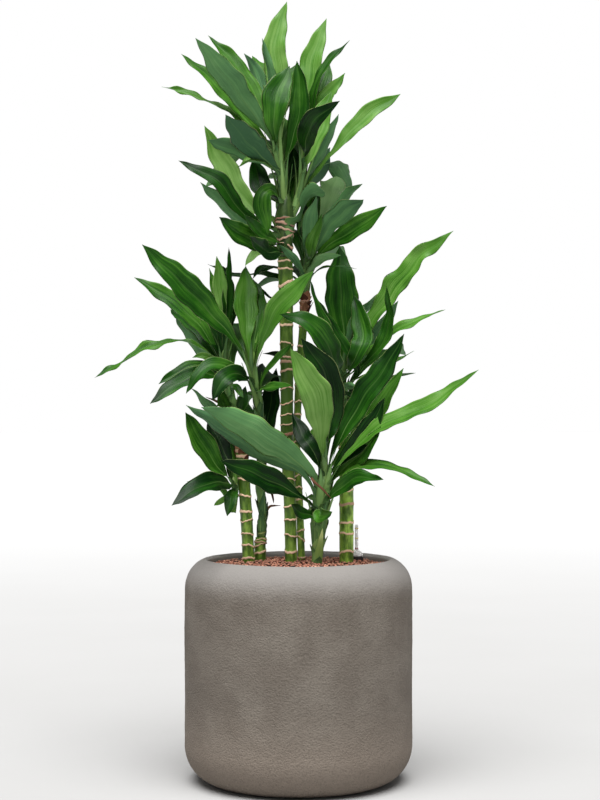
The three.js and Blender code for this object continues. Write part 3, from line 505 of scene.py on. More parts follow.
def place(x, z, depth):
    """The real place, in millimetres, of a point seen at x, z and lying at that depth."""
    reach = (depth - STANDING_POINT[1]) / -STANDING_POINT[1]
    return np.array([x * reach, depth, STANDING_POINT[2] + (z - STANDING_POINT[2]) * reach])


def axis_at(points, z):
    """x, depth and radius of a cane or stem at the height z."""
    upper = next((k for k, point in enumerate(points) if point[1] >= z), len(points) - 1)
    low, high = points[max(upper, 1) - 1], points[max(upper, 1)]
    share = (z - low[1]) / (high[1] - low[1])
    return [low[k] + (high[k] - low[k]) * share for k in (0, 2, 3)]


def ringed_stem(points, scars, seed, around=CANE_AROUND, rise=SCAR_RISE, waviness=1.0):
    """Points, faces and marks of a round stem whose rows of points follow its sloping scars."""
    draw = random.Random(seed)
    low, high = points[0][1], points[-1][1]
    ridges = [(z, slope + draw.uniform(-1.8, 1.8), thick * draw.uniform(0.8, 1.15), brown,
               draw.uniform(0, 6.28), draw.uniform(0.5, 1.9)) for z, slope, thick, brown in scars]
    heights = {low, high}
    heights |= {ridge[0] + step * ridge[2] * SCAR_WIDTH for ridge in ridges for step in SCAR_STEPS}
    heights |= {z for z in np.arange(low + 4, high - 1, 6.0)
                if all(abs(z - ridge[0]) > 5 * ridge[2] for ridge in ridges)}
    turn = all_round(around)
    bends = [slope * np.cos(turn) + waviness * (
        wave * np.sin(2 * turn + start) + 0.4 * np.sin(5 * turn - start)
        + 0.3 * np.sin(9 * turn + 2 * start)) for _, slope, _, _, start, wave in ridges]
    bends = np.array([0 * turn, *bends, 0 * turn])
    bent_at = [low, *[ridge[0] for ridge in ridges], high]
    scar_at, _, thick, dark, *_ = np.transpose(ridges)
    places, marks = [], []
    for z in sorted(z for z in heights if low <= z <= high):
        x, depth, radius = axis_at(points, z)
        near = int(np.clip(np.searchsorted(bent_at, z) - 1, 0, len(bent_at) - 2))
        share = (z - bent_at[near]) / max(bent_at[near + 1] - bent_at[near], 1e-6)
        bend = bends[near] + (bends[near + 1] - bends[near]) * share
        away = (z - scar_at) / thick / SCAR_WIDTH
        ridge = np.exp(-(away / 1.25) ** 2).max()
        marks.append([ridge, (dark * np.exp(-(away / 2.5) ** 2)).max(),
                      np.exp(-((away + 4) / 5) ** 2).max()])
        swell = radius * (1 + 0.012 * math.sin(z * 0.09 + seed)) + rise * ridge
        swell = swell * (1 + 0.012 * np.sin(3 * turn + seed) + 0.008 * np.sin(7 * turn + z * 0.05))
        centre = place(x, z, depth)
        places.append(np.stack([centre[0] + swell * np.cos(turn),
                                centre[1] + swell * np.sin(turn), centre[2] + bend], 1))
    rows = np.arange(len(places) * around).reshape(-1, around).tolist()
    marks = dict(zip(("scar", "brown", "below"), np.repeat(marks, around, axis=0).T))
    return np.concatenate(places), [*joined(rows), rows[0][::-1], rows[-1]], marks


def shaded(tone, amount):
    """A colour made that much of its strength."""
    return tuple(amount * part for part in tone)


def cane_finish(name, dark, light, scar_colour=SCAR_TAN):
    """Living green bark with upright streaks, darker under each scar and darkened by painted shade
    where the foliage shades it; the scars are dry and tan.
    """
    material, shader, spot = finish(name, 0.42, 0.35)
    scar, brown, below, canopy_shade = read_marks(spot.tree, "scar", "brown", "below", "canopy_shade")
    upright = add(spot.tree, "ShaderNodeMapping", {"Vector": spot, "Scale": (1, 1, 0.3)})
    tone = uneven_tone(upright, 125.0, 520.0, dark, light)
    shade = below * ramp(tone["Patches"], 0.72, 0.36)
    green = blend(shade * 0.72, tone["Colour"], shaded(dark, 0.3))
    # Painted shade: the bark goes a deeper green where the foliage shades it.
    green = blend(canopy_shade, green, shaded(dark, 0.38))
    scarred = ramp(scar, 0.35, 0.75)
    feed(shader, {
        "Base Color": blend(scarred, green, blend(brown, scar_colour, SCAR_BROWN)),
        "Roughness": 0.4 + scarred * 0.45, "Normal": relief(tone["Speckle"], 0.0005, 0.6)})
    return material


CANE_GREEN = cane_finish("green_cane_bark", (0.10, 0.23, 0.02), (0.43, 0.70, 0.10))
for seed, (name, cane) in enumerate(CANES.items()):
    places, faces, marks = ringed_stem(cane["points"], cane["scars"], seed + 1, waviness=1.4)
    # The painted shade follows each cane's height.
    marks["canopy_shade"] = np.interp(places[:, 2], *np.transpose(cane["canopy_shade"]))
    put_on(make_piece(name + "_bark", places, faces, CANE_GREEN, marks), "cane", name)

# ---------------------------------------------------------------------------- leafy stems
# Each shoot is a soft green stem wrapped in the clasping bases of its leaves. The leaves are
# long leathery blades: a pale channelled base, a paler midrib, fine ribs and a thin waved edge.
LENGTH_PER_WIDTH, SHORTEST, MOST_STRETCH, GOLDEN_ANGLE = 4.2, 30.0, 3.0, 137.508
WIDEST, ROOT_SHARE, TIP_SHARE, BULGE, TIP_POWER = 0.56, 0.27, 0.03, 0.25, 2.3
PETIOLE = 0.12
BLADE_CURL, BASE_CURL, BLADE_FOLD, BASE_FOLD = 0.16, 0.62, 9, 12
STEEPEST, REAR_SPAN, LOWEST_DROOP = 76, 78, 34
TWIST_END, FOLD_END = 0.35, 0.4
MARGIN_WAVE, WAVE_LENGTH, RIPPLE, RIPPLE_LENGTH = 2.2, 105.0, 1.2, 41.0
SWAY, SWAY_LENGTH, UNEVEN_WIDTH, UNEVEN_LENGTH = 1.1, 74.0, 0.05, 48.0
STATION_STEP, BLADE_SIDES = 6.5, 28
BLADE_HALF_THICKNESS, MIDRIB_RISE = 0.45, 0.8
CLASP_FADE, CLASP_TURN, CLASP_NARROWING = 40.0, 1.7, 0.5
CORE_SHARE = 0.78
LENGTHS = ("centre", "half", "lift_left", "lift_right", "thick", "rib")
DIRECTIONS = ("side", "up", "wrap", "crease")
# The darkest greens stand for leaves deep in the foliage: painted shade.
UPPER_GREENS = [[0.0, (0.001, 0.015, 0.001)], [0.3, (0.012, 0.070, 0.003)],
                [0.6, (0.062, 0.188, 0.017)], [1.0, (0.19, 0.345, 0.085)]]
UNDER_GREENS = [[0.0, (0.040, 0.112, 0.048)], [0.5, (0.108, 0.262, 0.090)],
                [1.0, (0.26, 0.44, 0.18)]]
# The second of these greens is painted shade for the sides of the clasping bases.
MIDRIB_GREEN, CLASP_SHADE_GREEN, BASE_GREEN = (0.22, 0.38, 0.11), (0.022, 0.066, 0.014), (0.25, 0.40, 0.10)
BLANCHED_GREEN, EDGE_CREAM = (0.92, 1.0, 0.42), (0.42, 0.48, 0.20)
DRY_DARK, DRY_LIGHT = (0.065, 0.022, 0.012), (0.33, 0.16, 0.085)

# A stem has one or more cores, each a list of points as on a cane, with a list of leaves for each.
# A leaf is [root height, width, lean, tone, [[x, z, depth behind its root], ...], petiole, wave]:
# lean turns its upper side from the viewer (0) up (90) to showing the underside (180), tone runs
# from 0, dark, to 1, young and bright, and below 0 is dry; besides the leaf's own age, tone holds
# painted shade and light, low for leaves deep in the foliage's shade. petiole is its narrow share
# of length.
# clasp is how far down the stem a leaf's base reaches. A row of back, for leaves that follow a
# rule, is [core, count, heading, spread, length, width, fall of the lowest, seed]. A row of sheaths,
# for old leaf bases that still wrap the stem, is [core, lowest, highest, step, length, gap at the
# tip, share of the stem they hug, darkest tone, palest tone].
LEAFY_STEMS = {
    "crown_main": {
        "clasp": 62,
        "cores": [
            [[-25, 988, 0, 13.6], [-26, 1020, 0, 15], [-27, 1043, 0, 18.5], [-27, 1066, 0, 18.5],
             [-26, 1085, 0, 15], [-24, 1103, 0, 9]],
            [[-28, 1066, -2, 8.5], [-29, 1100, -4, 8], [-32, 1140, -6, 8], [-37, 1180, -6, 7.5],
             [-41, 1217, -6, 5]],
            [[-14, 1062, 3, 8.5], [-3, 1090, 6, 8], [6, 1130, 8, 7.5], [12, 1170, 8, 7],
             [14, 1202, 8, 5]],
        ],
        "leaves": [[
            [1045, 46, 15, 0.85, [[-95, 1088, 12], [-138, 1155, 25], [-178, 1237, 38]]],
            [1030, 36, 30, 0.15, [[-105, 1070, -18], [-150, 1130, -28], [-227, 1171, -30]]],
            [1022, 34, 140, 0.3, [[-95, 1045, -8], [-140, 1085, -10], [-186, 1130, -12]]],
            [1010, 46, 25, 0.3, [[-85, 1020, -22], [-115, 1035, -35], [-150, 1064, -45]]],
            [1012, 30, 40, 0.25, [[-72, 1035, -32], [-103, 1068, -50]]],
            [998, 38, 35, 0.1, [[-62, 1000, -35], [-92, 1027, -60]]],
            [1003, 20, 40, 0.9, [[-75, 998, -5], [-101, 972, -10]]],
            [1050, 40, 140, 0.4, [[5, 1064, -10], [9, 1090, -14], [26, 1110, -24],
             [49, 1112, -38]], 0.4],
        ], [
            [1195, 48, 12, 0.75, [[-38, 1300, 24], [-44, 1395, 48], [-22, 1472, 68]]],
            [1200, 22, 150, 0.3, [[-47, 1310, 10], [-69, 1403, 12]]],
            [1165, 54, 10, 0.35, [[-46, 1240, -10], [-42, 1290, -8], [-17, 1350, 0]], 0.28],
            [1150, 40, 15, 0.3, [[-14, 1200, 0], [3, 1280, 2], [-3, 1360, 12]]],
            [1190, 52, 155, 0.45, [[-100, 1280, -34], [-150, 1345, -69], [-195, 1403, -89]]],
            [1200, 36, 35, 0.5, [[-80, 1290, 16], [-118, 1352, 28], [-171, 1408, 36]]],
            [1180, 34, 40, 0.5, [[-100, 1250, -9], [-155, 1315, -14], [-222, 1373, -19]]],
            [1170, 20, 60, 0.6, [[-90, 1237, -4], [-150, 1273, -6], [-205, 1298, -4],
             [-259, 1311, 1]], 0.12, 2],
            [1200, 38, 150, 0.25, [[-66, 1270, 21], [-78, 1330, 36], [-103, 1374, 51]]],
            [1145, 54, 160, 0, [[-75, 1185, -29], [-105, 1215, -54], [-138, 1258, -74]]],
            [1150, 40, 150, 0.3, [[-95, 1183, -44], [-130, 1197, -69], [-171, 1210, -94]]],
            [1145, 24, 60, 0.7, [[-60, 1168, -14], [-86, 1172, -24], [-118, 1158, -34]]],
            [1088, 36, 10, 0.4, [[-52, 1117, -12], [-68, 1100, -18], [-58, 1030, -20]], 0.2],
            [1085, 42, 15, 0.15, [[-68, 1118, 10], [-86, 1174, 16]]],
            [1110, 44, 15, 0.05, [[-16, 1160, 18], [-2, 1225, 28]]],
            [1080, 34, 20, 0.35, [[-24, 1130, 16], [-14, 1190, 24]]],
        ], [
            [1170, 46, 15, 0.75, [[16, 1290, 17], [28, 1370, 37], [53, 1440, 54]]],
            [1175, 24, 50, 0.3, [[30, 1300, 2], [55, 1355, 6], [97, 1399, 8]]],
            [1165, 34, 30, 0.6, [[38, 1262, 4], [60, 1300, 10], [88, 1337, 12]]],
            [1160, 44, 25, 0.1, [[18, 1225, -33], [40, 1256, -48], [78, 1284, -56]]],
            [1130, 42, 20, 0.65, [[24, 1190, -10], [42, 1245, -6], [62, 1302, 0]]],
            [1095, 36, 25, 0.65, [[30, 1143, 4], [78, 1203, 12], [130, 1258, 20], [193, 1297, 22]], 0.4],
            [1120, 26, 140, 0.2, [[44, 1185, 8], [76, 1259, 16]]],
            [1105, 36, 150, 0, [[38, 1148, 16], [60, 1196, 24]]],
            [1078, 30, 15, 0.45, [[-6, 1125, 14], [-8, 1182, 20]]],
        ]],
        "back": [[1, 7, 112, 46, 270, 54, 62, 36], [2, 5, 80, 34, 255, 50, 62, 19]],
        "sheaths": [[1, 1084, 1120, 12, 40, 1.5, 2.4, 0.4, 0.9],
                    [2, 1080, 1110, 12, 36, 1.5, 2.4, 0.3, 0.8],
                    [1, 1066, 1192, 8, 96, 24, 0.75, 0.1, 1.0], [2, 1062, 1176, 8, 90, 22, 0.75, 0.1, 1.0]],
    },
    "leafy_stem_thin_cane": {
        "clasp": 26,
        "cores": [
            [[13, 912, 34, 8], [14, 935, 35, 8.5], [17, 965, 38, 9], [20, 992, 42, 6]],
        ],
        "leaves": [[
            [965, 42, 25, 0.35, [[60, 1013, -6], [110, 1043, -13], [167, 1085, -23]]],
            [975, 46, 155, 0.3, [[55, 1040, -23], [88, 1075, -43], [123, 1097, -63]]],
            [980, 36, 150, 0.45, [[55, 1060, -3], [88, 1105, -8], [121, 1127, -18]]],
            [970, 48, 165, 0.9, [[40, 1040, -26], [58, 1102, -48], [66, 1122, -84],
             [72, 1141, -116]], 0.45],
            [968, 24, 20, 0.5, [[26, 1015, -24], [44, 1070, -32]]],
            [975, 34, 150, 0.3, [[22, 1040, -30], [34, 1104, -48]]],
            [970, 26, 20, 0.05, [[10, 1030, 4], [12, 1092, 18]]],
            [958, 26, 140, 0.6, [[45, 984, -12], [80, 992, -16]]],
            [945, 14, 82, 0.3, [[45, 968, -10], [75, 971, -8], [110, 966, -6]]],
            [942, 18, 150, 0.3, [[-10, 985, -60], [-38, 1012, -74]]],
            [930, 16, 60, 0.15, [[-25, 960, 16], [-62, 970, 18], [-88, 946, 16]], 0.12, 2],
            [925, 18, 60, 0.15, [[-30, 948, 24], [-80, 956, 30], [-125, 955, 32],
             [-172, 975, 32]], 0.12, 2],
            [916, 12, 50, 0.05, [[-40, 905, 22], [-86, 940, 28]]],
        ]],
        "back": [[0, 6, 94, 38, 240, 46, 62, 13]],
        "sheaths": [[0, 913, 945, 9, 30, 2.0, 2.4, 0.1, 0.5], [0, 917, 982, 9, 56, 9, 0.9, 0.0, 0.6]],
    },
    "leafy_stem_rear_left": {
        "clasp": 40,
        "cores": [
            [[-71, 458, 52, 10.5], [-67, 500, 49, 9], [-72, 545, 43, 9], [-70, 600, 32, 8.5],
             [-70, 660, 18, 8.5], [-76, 710, 2, 8.5], [-84, 750, -12, 8.5], [-90, 792, -22, 5.5]],
        ],
        "leaves": [[
            [770, 58, 22, 0.3, [[-128, 838, -18], [-170, 885, -34], [-215, 932, -48],
             [-296, 1012, -62]], 0.24],
            [775, 50, 12, 0.55, [[-98, 840, 2], [-100, 900, 12], [-100, 971, 24]], 0.26],
            [765, 44, 20, 0.6, [[-62, 845, -31], [-35, 895, -44], [28, 962, -46]], 0.3],
            [755, 30, 35, 0.25, [[-112, 770, -26], [-148, 785, -46], [-185, 772, -62],
             [-213, 730, -70]]],
            [748, 38, 15, 0.1, [[-118, 768, -16], [-140, 758, -26], [-163, 717, -30]]],
            [735, 20, 30, 0.5, [[-58, 742, -26], [-35, 744, -38], [-13, 745, -48]], 0.3],
            [725, 16, 40, 0.4, [[-66, 765, -16], [-52, 783, -24], [-35, 800, -28], [-12, 826, -30]]],
            [590, 42, 20, 0, [[-58, 680, 38], [-42, 778, 56]]],
            [500, 5, 60, -1, [[-50, 518, 44], [-33, 518, 42]]],
            [555, 8, 30, -1, [[-52, 545, 40], [-47, 522, 40]]],
        ]],
        "back": [[0, 5, 96, 26, 255, 50, 62, 120]],
        "sheaths": [[0, 459, 720, 11, 36, 3.2, 2.4, -0.2, 0.3], [0, 470, 700, 13, 26, 4, 1.3, -0.2, 0.4],
                    [0, 690, 785, 9, 62, 14, 0.8, 0.1, 0.8]],
    },
    "leafy_stem_front_left": {
        "clasp": 34,
        "cores": [
            [[-108, 630, 20, 10], [-118, 680, 18, 9], [-130, 730, 17, 9], [-140, 775, 18, 8],
             [-142, 806, 20, 5]],
        ],
        "leaves": [[
            [775, 38, 30, 0.4, [[-180, 848, 3], [-235, 903, 5], [-311, 950, 7]]],
            [785, 24, 60, 0.5, [[-205, 826, -17], [-265, 825, -23], [-320, 798, -31],
             [-386, 760, -39]], 0.12, 2.2],
            [770, 44, 150, 0.3, [[-180, 813, 17], [-208, 848, 27], [-234, 880, 35]]],
            [780, 44, 12, 0.1, [[-158, 835, 3], [-182, 886, 4]]],
            [790, 34, 12, 0.75, [[-138, 840, 19], [-145, 910, 31], [-155, 990, 43]]],
            [795, 16, 30, 0.2, [[-132, 860, 9], [-131, 930, 17], [-132, 1007, 25]]],
            [790, 20, 30, 0.6, [[-152, 890, 43], [-169, 968, 57]]],
            [765, 26, 30, 0.3, [[-195, 784, -13], [-265, 748, -21]]],
            [755, 36, 30, 0.25, [[-185, 768, -35], [-235, 745, -49], [-281, 711, -59]]],
            [770, 16, 40, 0.6, [[-175, 800, -7], [-201, 798, -9]]],
            [660, 22, 140, 0.3, [[-160, 698, -5], [-203, 740, -13]]],
            [700, 14, 30, 0.5, [[-135, 712, -11], [-156, 706, -19]]],
            [725, 16, 40, 0.5, [[-122, 742, -15], [-104, 722, -23]]],
            [690, 9, 40, -1, [[-150, 712, -7], [-176, 724, -13]]],
            [690, 24, 25, 0.35, [[-142, 712, -17], [-152, 746, -27]]],
            [680, 22, 30, 0.2, [[-107, 706, -9], [-100, 744, -13]]],
        ]],
        "back": [[0, 5, 118, 40, 235, 44, 40, 54]],
        "sheaths": [[0, 631, 760, 11, 38, 3.0, 2.4, 0.0, 0.5], [0, 645, 792, 10, 60, 13, 0.8, 0.0, 0.9]],
    },
    "side_sprout_front_left": {
        "clasp": 12,
        "cores": [
            [[-119, 536, 12, 6], [-120, 550, 11, 7.5], [-123, 566, 10, 5]],
        ],
        "leaves": [[
            [560, 46, 20, 0.35, [[-152, 590, -11], [-185, 640, -15], [-214, 694, -17]]],
            [562, 38, 15, 0, [[-136, 610, 7], [-172, 679, 19]]],
            [556, 46, 35, 0.05, [[-150, 562, -33], [-190, 552, -51], [-240, 518, -65]]],
            [548, 26, 20, 0.3, [[-126, 538, -15], [-135, 498, -23]]],
            [546, 14, 40, 0.6, [[-138, 530, 5], [-160, 518, 9]]],
        ]],
        "back": [[0, 3, 118, 34, 150, 38, 26, 82]],
        "sheaths": [[0, 533, 548, 9, 20, 1.5, 2.4, 0.1, 0.5]],
    },
    "leafy_stem_front": {
        "clasp": 55,
        "cores": [
            [[33, 345, -28, 9.5], [35, 415, -28, 11.5], [37, 445, -31, 14.5], [40, 485, -36, 16.5],
             [44, 525, -41, 15.5], [48, 562, -46, 11], [50, 592, -49, 6]],
        ],
        "leaves": [[
            [532, 60, 155, 0.5, [[22, 575, -24], [-5, 603, -42], [-60, 640, -77], [-120, 678, -100],
             [-184, 704, -112]]],
            [520, 38, 150, 0.2, [[18, 562, -18], [-10, 590, -32], [-70, 615, -52], [-130, 655, -70],
             [-213, 708, -84]]],
            [505, 50, 20, 0.02, [[-5, 540, -32], [-50, 563, -67], [-95, 583, -97],
             [-148, 603, -122]], 0.25],
            [575, 60, 12, 0.85, [[42, 650, -20], [34, 720, -34], [-15, 815, -46]], 0.3],
            [585, 58, 12, 0.05, [[60, 690, -4], [48, 770, -14], [5, 834, -20]]],
            [570, 34, 15, 0, [[25, 625, -10], [5, 655, -2], [-12, 694, 4]]],
            [578, 52, 25, 0.15, [[85, 655, -10], [125, 725, -16], [165, 780, -20], [200, 843, -22]]],
            [535, 38, 40, 0.6, [[78, 594, -18], [105, 625, -32], [160, 672, -47], [245, 708, -62],
             [341, 775, -72]], 0.22],
            [512, 34, 60, 0.4, [[68, 552, -20], [102, 585, -30], [150, 594, -47], [205, 578, -67],
             [258, 554, -82]], 0.22],
            [512, 34, 30, 0.35, [[64, 536, -14], [86, 557, -22], [118, 571, -34],
             [161, 567, -50]], 0.12, 1.6],
            [575, 40, 25, 0.55, [[110, 650, 18], [155, 710, 23], [199, 778, 28]]],
            [565, 40, 20, 0.05, [[100, 622, -6], [135, 665, -10], [163, 722, -12]]],
            [550, 36, 25, 0.45, [[95, 595, -2], [130, 628, -12], [156, 668, -16]]],
            [495, 26, 30, 0.2, [[5, 505, -17], [-14, 520, -30]]],
            [505, 30, 20, 0.5, [[42, 497, -22], [64, 506, -34]]],
            [560, 4, 30, -0.9, [[18, 575, -20], [38, 556, -30], [68, 526, -26]]],
        ]],
        "back": [[0, 4, 104, 12, 200, 40, 62, 17]],
        "sheaths": [[0, 396, 540, 21, 62, 1.8, 2.4, 0.7, 1.1], [0, 402, 470, 11, 24, 4, 1.3, 0.2, 1.1],
                    [0, 402, 403, 1, 74, 7.5, 1.0, 1.5, 1.7], [0, 455, 580, 9, 80, 20, 0.75, 0.1, 1.0]],
    },
    "leafy_stem_right": {
        "clasp": 44,
        "cores": [
            [[88, 650, 15, 11], [83, 690, 21, 9], [81, 735, 29, 9.5], [82, 777, 36, 6]],
        ],
        "leaves": [[
            [760, 66, 12, 0.3, [[86, 830, 6], [80, 910, 10], [78, 1009, 18]], 0.24],
            [755, 44, 25, 0.6, [[118, 835, 2], [170, 915, -2], [225, 985, -8],
             [293, 1038, -16]], 0.2, 2],
            [750, 26, 55, 0.6, [[130, 808, -16], [195, 855, -26], [278, 889, -36]], 0.12, 1.3],
            [755, 30, 40, 0.35, [[140, 800, -34], [172, 862, -42], [167, 933, -46]], 0.12, 1.4],
            [758, 42, 18, 0.25, [[112, 805, -20], [122, 850, -12], [104, 917, -2]]],
            [752, 32, 150, 0.3, [[135, 818, 18], [165, 865, 24], [189, 906, 28]]],
            [748, 46, 25, 0.25, [[66, 795, -32], [40, 846, -42], [2, 872, -44], [-35, 880, -38]]],
            [752, 20, 40, 0.3, [[68, 825, -42], [40, 882, -46], [22, 946, -42]]],
            [745, 22, 35, 0.2, [[112, 765, -28], [95, 808, -36], [60, 865, -38], [37, 907, -38]]],
            [745, 14, 50, 0.6, [[150, 775, 6], [219, 811, 14]]],
            [738, 14, 50, 0.3, [[150, 755, 12], [222, 769, 22]]],
            [725, 12, 50, 0.2, [[130, 712, 10], [171, 702, 18]]],
            [735, 16, 150, 0.4, [[97, 744, -14], [111, 742, -18]]],
            [732, 10, 30, 0, [[97, 728, -16], [110, 717, -20]]],
            [740, 18, 30, 0.1, [[30, 795, 38], [-68, 806, 48]]],
        ]],
        "back": [[0, 6, 62, 38, 260, 52, 62, 18]],
        "sheaths": [[0, 651, 730, 13, 42, 2.5, 2.4, 0.1, 0.6], [0, 660, 765, 9, 66, 15, 0.8, 0.1, 0.9]],
    },
}


def smooth(low, high, value):
    """Smooth rise from 0 at low to 1 at high."""
    share = np.clip((np.asarray(value, float) - low) / (high - low), 0, 1)
    return share * share * (3 - 2 * share)


def unit(vectors):
    """The same directions, one long."""
    return vectors / np.maximum(np.linalg.norm(vectors, axis=-1, keepdims=True), 1e-9)


def curve_through(points, steps=40):
    """A smooth curve through the points, as many close points."""
    points = np.asarray(points, float)
    held = np.concatenate([[2 * points[0] - points[1]], points, [2 * points[-1] - points[-2]]])
    t = (np.arange(steps) / steps)[:, None]
    parts = []
    for before, start, end, after in zip(held, held[1:], held[2:], held[3:]):
        leaving, arriving = (end - before) / 2, (after - start) / 2
        parts.append((2 * start - 2 * end + leaving + arriving) * t ** 3 + start
                     + (3 * end - 3 * start - 2 * leaving - arriving) * t ** 2 + leaving * t)
    return np.concatenate([*parts, points[-1:]])


def run_of(curve):
    """How far along the curve each of its points lies."""
    return np.concatenate([[0], np.cumsum(np.linalg.norm(np.diff(curve, axis=0), axis=1))])


def at_run(curve, run, wanted):
    """The points of the curve at the wanted distances along it."""
    return np.stack([np.interp(wanted, run, curve[:, k]) for k in range(3)], 1)


def real_axis(points):
    """Real x, y, z and radius of each point of a stem."""
    return np.array([[*place(x, z, depth), radius] for x, z, depth, radius in points])


def beside_axis(axis, z, heading, gap):
    """The place at the height z, that far off the stem's skin on the side of the heading."""
    x, y, radius = (np.interp(z, axis[:, 2], axis[:, k]) for k in (0, 1, 3))
    return np.array([x + heading[0] * (radius + gap), y + heading[1] * (radius + gap), z])


def clasping_spine(axis, path, clasp_height):
    """A leaf's path, bent so that its lowest part lies against its stem. Also the share of the
    leaf's length at each point, its distances past the stem and off its axis, and the heading."""
    curve = curve_through(path)
    run = run_of(curve)
    whole = run[-1]
    spot = [np.interp(curve[:, 2], axis[:, 2], axis[:, k]) for k in (0, 1, 3)]
    away = np.hypot(curve[:, 0] - spot[0], curve[:, 1] - spot[1])
    inside = np.flatnonzero((away < spot[2] + 0.6) & (curve[:, 2] < axis[-1, 2] + 1))
    leaves_at = run[min(inside[-1] + 1, len(run) - 1)] if len(inside) else 0.0
    out = at_run(curve, run, [leaves_at, leaves_at + min(14, 0.3 * (whole - leaves_at))])
    centre = [np.interp(out[1, 2], axis[:, 2], axis[:, k]) for k in (0, 1)]
    heading = unit(out[1, :2] - centre)
    height = min(out[0, 2], axis[-1, 2] - 2)
    radius = np.interp(height, axis[:, 2], axis[:, 3])
    drops = np.array([clasp_height, clasp_height * 0.6, clasp_height * 0.25, 3.0])
    skin = -(1 - CORE_SHARE) * radius
    low = [beside_axis(axis, max(height - drop, axis[0, 2] + 1), heading, gap)
           for drop, gap in zip(drops, (skin + 0.2, skin / 2 + 0.4, 0.6, 1.4))]
    gap = min(16.0, 0.35 * (whole - leaves_at))
    onward = np.arange(leaves_at + gap, whole - 9, 24.0)
    onward = np.append(onward, whole)
    knots = np.concatenate([low, at_run(curve, run, onward)])
    shares = np.concatenate([(leaves_at - drops) / whole, onward / whole])
    fine = curve_through(knots, 16)
    fine_run = run_of(fine)
    knot_run = fine_run[::16]
    count = max(int(round(fine_run[-1] / STATION_STEP)), 8)
    k = np.arange(count + 1) / count
    wanted = fine_run[-1] * (1 - (1 - k) ** 1.25)
    spine = at_run(fine, fine_run, wanted)
    share = np.interp(wanted, knot_run, shares)
    middle = [np.interp(spine[:, 2], axis[:, 2], axis[:, k]) for k in (0, 1)]
    off_axis = np.hypot(spine[:, 0] - middle[0], spine[:, 1] - middle[1])
    return spine, share, share * whole - leaves_at, off_axis, heading, whole


def width_share(u, petiole):
    """Share of the full width at u, from the root (0) to the tip (1)."""
    widest = max(WIDEST, petiole + 0.3)
    beyond = np.clip((u - widest) / (1 - widest), 0, 1)
    before = np.clip(u - petiole, 0, None) / (widest - petiole)
    tapering = np.maximum(1 - beyond ** TIP_POWER, TIP_SHARE)
    growing = ROOT_SHARE + (1 - ROOT_SHARE) * ((1 + BULGE) * before - BULGE * before ** 3)
    return np.where(u > widest, tapering, growing)


def turned(vector, axis, angle):
    """A vector turned about a unit axis."""
    return (vector * math.cos(angle) + np.cross(axis, vector) * math.sin(angle)
            + axis * np.dot(axis, vector) * (1 - math.cos(angle)))


def facing(spine, share, past, heading, lean, roll):
    """The blade's side and upper directions all along the spine."""
    tangents = unit(np.gradient(spine, axis=0))
    outward = np.array([*unit(spine[-1, :2] - spine[0, :2]), 0.0])
    handed = 1 if spine[-1, 0] < spine[0, 0] else -1
    ups, twist = [], 0.0
    for centre, tangent, u, q in zip(spine, tangents, share, past):
        blend = float(smooth(0, 60, q))
        away = unit(np.array([*heading, 0.0]) * (1 - blend) + outward * blend)
        upper = -0.8 * away + np.array([0, 0, 0.6])
        normal = unit(upper - tangent * np.dot(upper, tangent))
        if lean is None:
            twist = math.radians(roll)
        else:
            sight = STANDING_POINT - centre
            sight = unit(sight - tangent * np.dot(sight, tangent))
            aside = np.cross(tangent, sight) * handed
            wanted = sight * math.cos(math.radians(lean)) + aside * math.sin(math.radians(lean))
            angle = math.atan2(np.dot(np.cross(normal, wanted), tangent), np.dot(normal, wanted))
            twist = angle + 2 * math.pi * round((twist - angle) / (2 * math.pi))
        ups.append(turned(normal, tangent, twist * float(smooth(0, TWIST_END, u))))
    ups = np.array(ups)
    return np.cross(tangents, ups), ups


